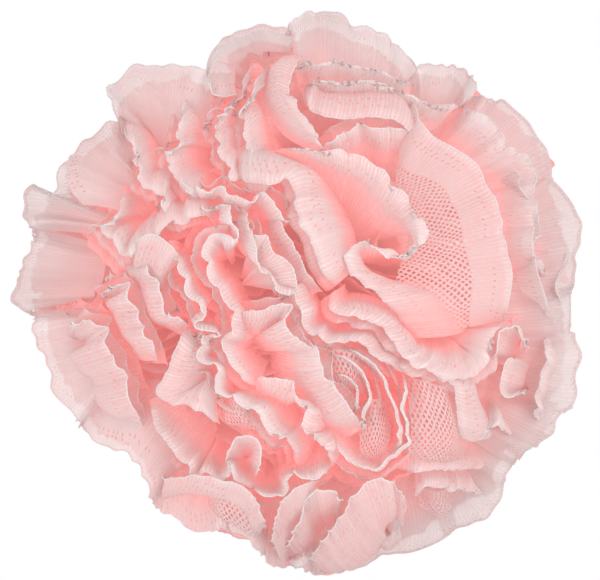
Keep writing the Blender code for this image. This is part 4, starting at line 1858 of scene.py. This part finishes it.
@dataclass(frozen=True)
class RuffleGroup:
    """The ruffles of the photographed side that make up one piece.

    Args:
        name: the piece's name.
        ruffles: its ruffles.
        level: 0 for the ruffles themselves, 1 or 2 for the folds that lie behind them and deeper.
        frills: their ripples.
        finish: their finish.
        face_slope: how steeply the faces fall away from their rims.
        face_stretch: how much farther each face runs down under its neighbour than it can be seen.
        fold_gap_px, fold_drop: how far a level lies behind the one before it, and how much lower, as a
            share of the ball's radius.
        fold_buried: how much more buried each level counts, which deepens its painted shade.
        steep_sink: a face that sinks by this share of the radius or more is buried in full at its root.
        steep_least: how buried the flattest face is there.
        end_dive, end_share: how far both ends of a ruffle dive under their neighbours, as a share of the
            radius, and over which share of its length.
        end_buried: how buried its ends count, which deepens their painted shade.
        rows, spacing: how many rows a sheet has, and the distance between its columns.
        wide_share: on a wide sheet the net starts sooner, by this factor.
        border_share: the share of the border that the other sheets show at most.
        first_seed, level_seeds: the seed of the first ruffle, and how many a level takes.
    """

    name: str
    ruffles: tuple[Ruffle, ...]
    level: int
    frills: tuple[Frill, ...]
    finish: LaceFinish
    face_slope: float = 0.78
    face_stretch: float = 1.35
    fold_gap_px: float = 10.0
    fold_drop: float = 0.055
    fold_buried: float = 0.45
    steep_sink: float = 0.26
    steep_least: float = 0.3
    end_dive: float = 0.07
    end_share: float = 0.12
    end_buried: float = 0.8
    rows: int = 18
    spacing: float = COLUMN_SPACING * 0.7
    wide_share: float = 1.25
    border_share: float = 0.95
    first_seed: int = 11
    level_seeds: int = 50

    def build(self, view: PhotoView) -> LaceMesh:
        """Gathers the sheets of all ruffles that reach down to this level.

        Args:
            view: the camera's view.

        Returns:
            The mesh.
        """
        mesh = LaceMesh(self.name)
        for seed, ruffle in enumerate(self.ruffles, self.first_seed + self.level_seeds * self.level):
            if self.level <= ruffle.folds_behind:
                mesh.add_sheet(self.sheet(ruffle, view, seed))
        return mesh

    def diving(self, shares: np.ndarray) -> np.ndarray:
        """Returns 1 at both ends of a ruffle and 0 between them, from shares of its length."""
        return np.clip(1 - np.minimum(shares, 1 - shares) / self.end_share, 0, 1)

    def sheet(self, ruffle: Ruffle, view: PhotoView, seed: int) -> Sheet:
        """Builds one ruffle along the pixels that its free edge passes through.

        Args:
            ruffle: the ruffle.
            view: the camera's view.
            seed: sets the unevenness of its ripples.

        Returns:
            The sheet.
        """
        faces = np.array(ruffle.face, dtype=float)
        rim_pixels = np.array(ruffle.rim, dtype=float) - self.level * self.fold_gap_px * unit(faces)
        root_pixels = rim_pixels + self.face_stretch * faces
        dives = self.end_dive * self.diving(np.linspace(0, 1, len(rim_pixels)))
        rises = ruffle.rise - self.level * self.fold_drop - dives
        sink = 1 - self.face_slope * (1 - ruffle.sink) - self.level * self.fold_drop / 2
        rim = curve_through(np.array([view.ball_point(*knot) for knot in zip(rim_pixels, rises)]))
        root = curve_through(np.array([view.ball_point(pixel, sink) for pixel in root_pixels]))
        rim, root = resampled(rim, self.spacing, root)
        width = np.linalg.norm(rim - root, axis=1, keepdims=True)
        bulge = unit((rim + root) / 2 - view.ball.middle) * width * ruffle.bow
        points = lofted(rim, root, bulge, self.rows)
        points = frilled(points, arc_lengths(points[-1]), self.frills, seed, calm=ruffle.calm)
        sheet = finished_sheet(rolled(points))
        sheet.bead = np.full(len(sheet.along), ruffle.bead)
        if ruffle.fabric is Fabric.NET:
            sheet.inward = sheet.inward + BORDER_WIDTH_MM / 1000
            return sheet
        sheet.buried = self.buried(ruffle, sheet)
        if ruffle.fabric is Fabric.WIDE:
            sheet.inward = sheet.inward * self.wide_share
        else:
            sheet.inward = np.minimum(sheet.inward, self.border_share * BORDER_WIDTH_MM / 1000)
        return sheet

    def buried(self, ruffle: Ruffle, sheet: Sheet) -> np.ndarray:
        """Measures how deep between its neighbours a ruffle lies, for its painted shade.

        Args:
            ruffle: the ruffle.
            sheet: its sheet.

        Returns:
            0 to 1 for each point: least at the free edge, and more towards the root and the ends.
        """
        dived = self.diving(sheet.along / sheet.along[-1])
        base = np.minimum(self.fold_buried * self.level + ruffle.deeper + self.end_buried * dived, 1)
        steep = min(max((1 - ruffle.sink) / self.steep_sink, self.steep_least), 1.0)
        return base + (1 - base) * steep * sheet.inward / np.maximum(sheet.inward[:1], 1e-6)


@dataclass(frozen=True)
class GatheringCord:
    """Finish of the twisted pale pink cord in the middle of the ball.

    Args:
        valley, ridge: its colour between the strands, which is painted shade, and on them.
        twist_scale: how close the strands lie.
        relief: how far they stand out.
        roughness: roughness of the yarn.
    """

    painted_valley_shade: Colour = (0.86, 0.56, 0.55, 1.0)
    ridge: Colour = (0.93, 0.76, 0.74, 1.0)
    twist_scale: float = 320.0
    relief: float = 0.0003
    roughness: float = 0.7

    def material(self) -> bpy.types.Material:
        """Makes the twisted yarn.

        Returns:
            The material.
        """
        table = NodeTable("twisted cord")
        bands = table.add("ShaderNodeTexWave", wave_type="BANDS", bands_direction="DIAGONAL")
        table.link(table.place(), bands.inputs["Vector"])
        bands.inputs["Scale"].default_value = self.twist_scale
        bump = table.add("ShaderNodeBump")
        bump.inputs["Distance"].default_value = self.relief
        table.link(bands.outputs["Fac"], bump.inputs["Height"])
        yarn = table.add("ShaderNodeBsdfPrincipled")
        yarn.inputs["Roughness"].default_value = self.roughness
        # Painted shade: the cord is darker between its strands.
        table.link(table.mix(bands.outputs["Fac"], self.painted_valley_shade, self.ridge), yarn.inputs["Base Color"])
        table.link(bump.outputs[0], yarn.inputs["Normal"])
        return table.finished(yarn.outputs[0])

    def dress(self, cord: bpy.types.Object) -> None:
        """Gives the solid cord its finish.

        Args:
            cord: the cord's node.
        """
        cord.data.materials.clear()
        cord.data.materials.append(self.material())
        LOG.info("%s: dressed", cord.name)


@dataclass(frozen=True)
class Lamp:
    """A soft area lamp aimed at the ball: its name, place, width in metres, power in watts and colour."""

    name: str
    place: tuple[float, float, float]
    size: float
    power: float
    colour: tuple[float, float, float] = (1.0, 1.0, 1.0)


@dataclass(frozen=True)
class Surroundings:
    """What stands round the ball.

    Args:
        lamps: the lamps.
        world_strength: strength of the white world.
        floor_size: width of the floor.
        paper: colour of the floor to the light.
    """

    lamps: tuple[Lamp, ...] = (
        Lamp("key", (0.55, -0.30, 0.90), 0.4, 3.2),
        Lamp("fill", (-0.80, -0.70, 0.30), 0.9, 4.5),
        Lamp("low fill", (0.65, -0.85, 0.20), 0.9, 3.6),
    )
    world_strength: float = 0.90
    floor_size: float = 6.0
    paper: Colour = (0.9, 0.9, 0.9, 1.0)

    def white_floor(self) -> bpy.types.Object:
        """Adds the floor: white to the camera, like a cut-out's ground, and pale to the light.

        Returns:
            The floor.
        """
        bpy.ops.mesh.primitive_plane_add(size=self.floor_size)
        floor = bpy.context.object
        floor.name = "floor"
        table = NodeTable("white ground")
        paper = table.add("ShaderNodeBsdfDiffuse")
        paper.inputs["Color"].default_value = self.paper
        white = table.add("ShaderNodeEmission")
        white.inputs["Color"].default_value = WHITE
        path = table.add("ShaderNodeLightPath")
        direct = table.maths("ADD", path.outputs["Is Camera Ray"], path.outputs["Is Glossy Ray"])
        direct = table.maths("MINIMUM", table.maths("ADD", direct, path.outputs["Is Transmission Ray"]), 1.0)
        seen = table.blend(direct, paper.outputs[0], white.outputs[0])
        floor.data.materials.append(table.finished(seen))
        return floor

    def light(self, ball: Ball) -> None:
        """Adds the lamps and the white world.

        Args:
            ball: the ball that the lamps are aimed at.
        """
        middle = Vector(ball.middle)
        for lamp in self.lamps:
            data = bpy.data.lights.new(lamp.name, "AREA")
            data.shape = "DISK"
            data.size = lamp.size
            data.energy = lamp.power
            data.color = lamp.colour
            item = bpy.data.objects.new(lamp.name, data)
            item.location = lamp.place
            item.rotation_euler = (middle - Vector(lamp.place)).to_track_quat("-Z", "Y").to_euler()
            bpy.context.scene.collection.objects.link(item)
        world = bpy.data.worlds.new("white surroundings")
        world.use_nodes = True
        back = world.node_tree.nodes["Background"]
        back.inputs["Color"].default_value = WHITE
        back.inputs["Strength"].default_value = self.world_strength
        bpy.context.scene.world = world
        bpy.context.scene.view_settings.view_transform = "Standard"


# The pieces of lace, and the finishes that they share.
LACE_PIECES = (
    WoundStrip("lace_strip_turns", 0.0, 1.0, 0.88, 7),
    WoundStrip("lace_strip_between", math.pi, 0.95, 0.86, 8),
    RuffleGroup("lace_outline", OUTLINE_RUFFLES, 0, PETAL_FRILLS, PETAL_FINISH),
    RuffleGroup("lace_folds", FOLD_RUFFLES, 0, FRONT_FRILLS, BALL_FINISH),
    RuffleGroup("lace_inner_folds", FOLD_RUFFLES, 1, FRONT_FRILLS, BALL_FINISH),
    RuffleGroup("lace_deep_folds", FOLD_RUFFLES, 2, FRONT_FRILLS, BALL_FINISH),
    RuffleGroup("lace_net", NET_RUFFLES, 0, PETAL_FRILLS, NET_FINISH),
)
FINISHES = (STRIP_FINISH, BALL_FINISH, NET_FINISH, PETAL_FINISH)


def declare_lace(item: bpy.types.Object) -> None:
    """Hangs a piece on the root body in place of the CAD strip, and hides that strip.

    Args:
        item: the piece.
    """
    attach(item, "root")
    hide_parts("lace_strip")


def main() -> None:
    """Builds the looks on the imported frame."""
    logging.basicConfig(level=logging.INFO)
    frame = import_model()
    low, high = (np.array(corner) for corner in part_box("gathering_cord"))
    ball = Ball(middle=(low + high) / 2, radius=StripLay().mean_radius)
    view = PhotoView(ball)
    view.place_camera()

    materials = {finish.name: finish.materials(ball) for finish in FINISHES}
    for piece in LACE_PIECES:
        mesh = piece.build(view)
        declare_lace(mesh.to_object(materials[piece.finish.name]))
    GatheringCord().dress(frame["nodes"]["gathering_cord"])

    surroundings = Surroundings()
    surroundings.white_floor()
    surroundings.light(ball)


if __name__ == "__main__":
    main()
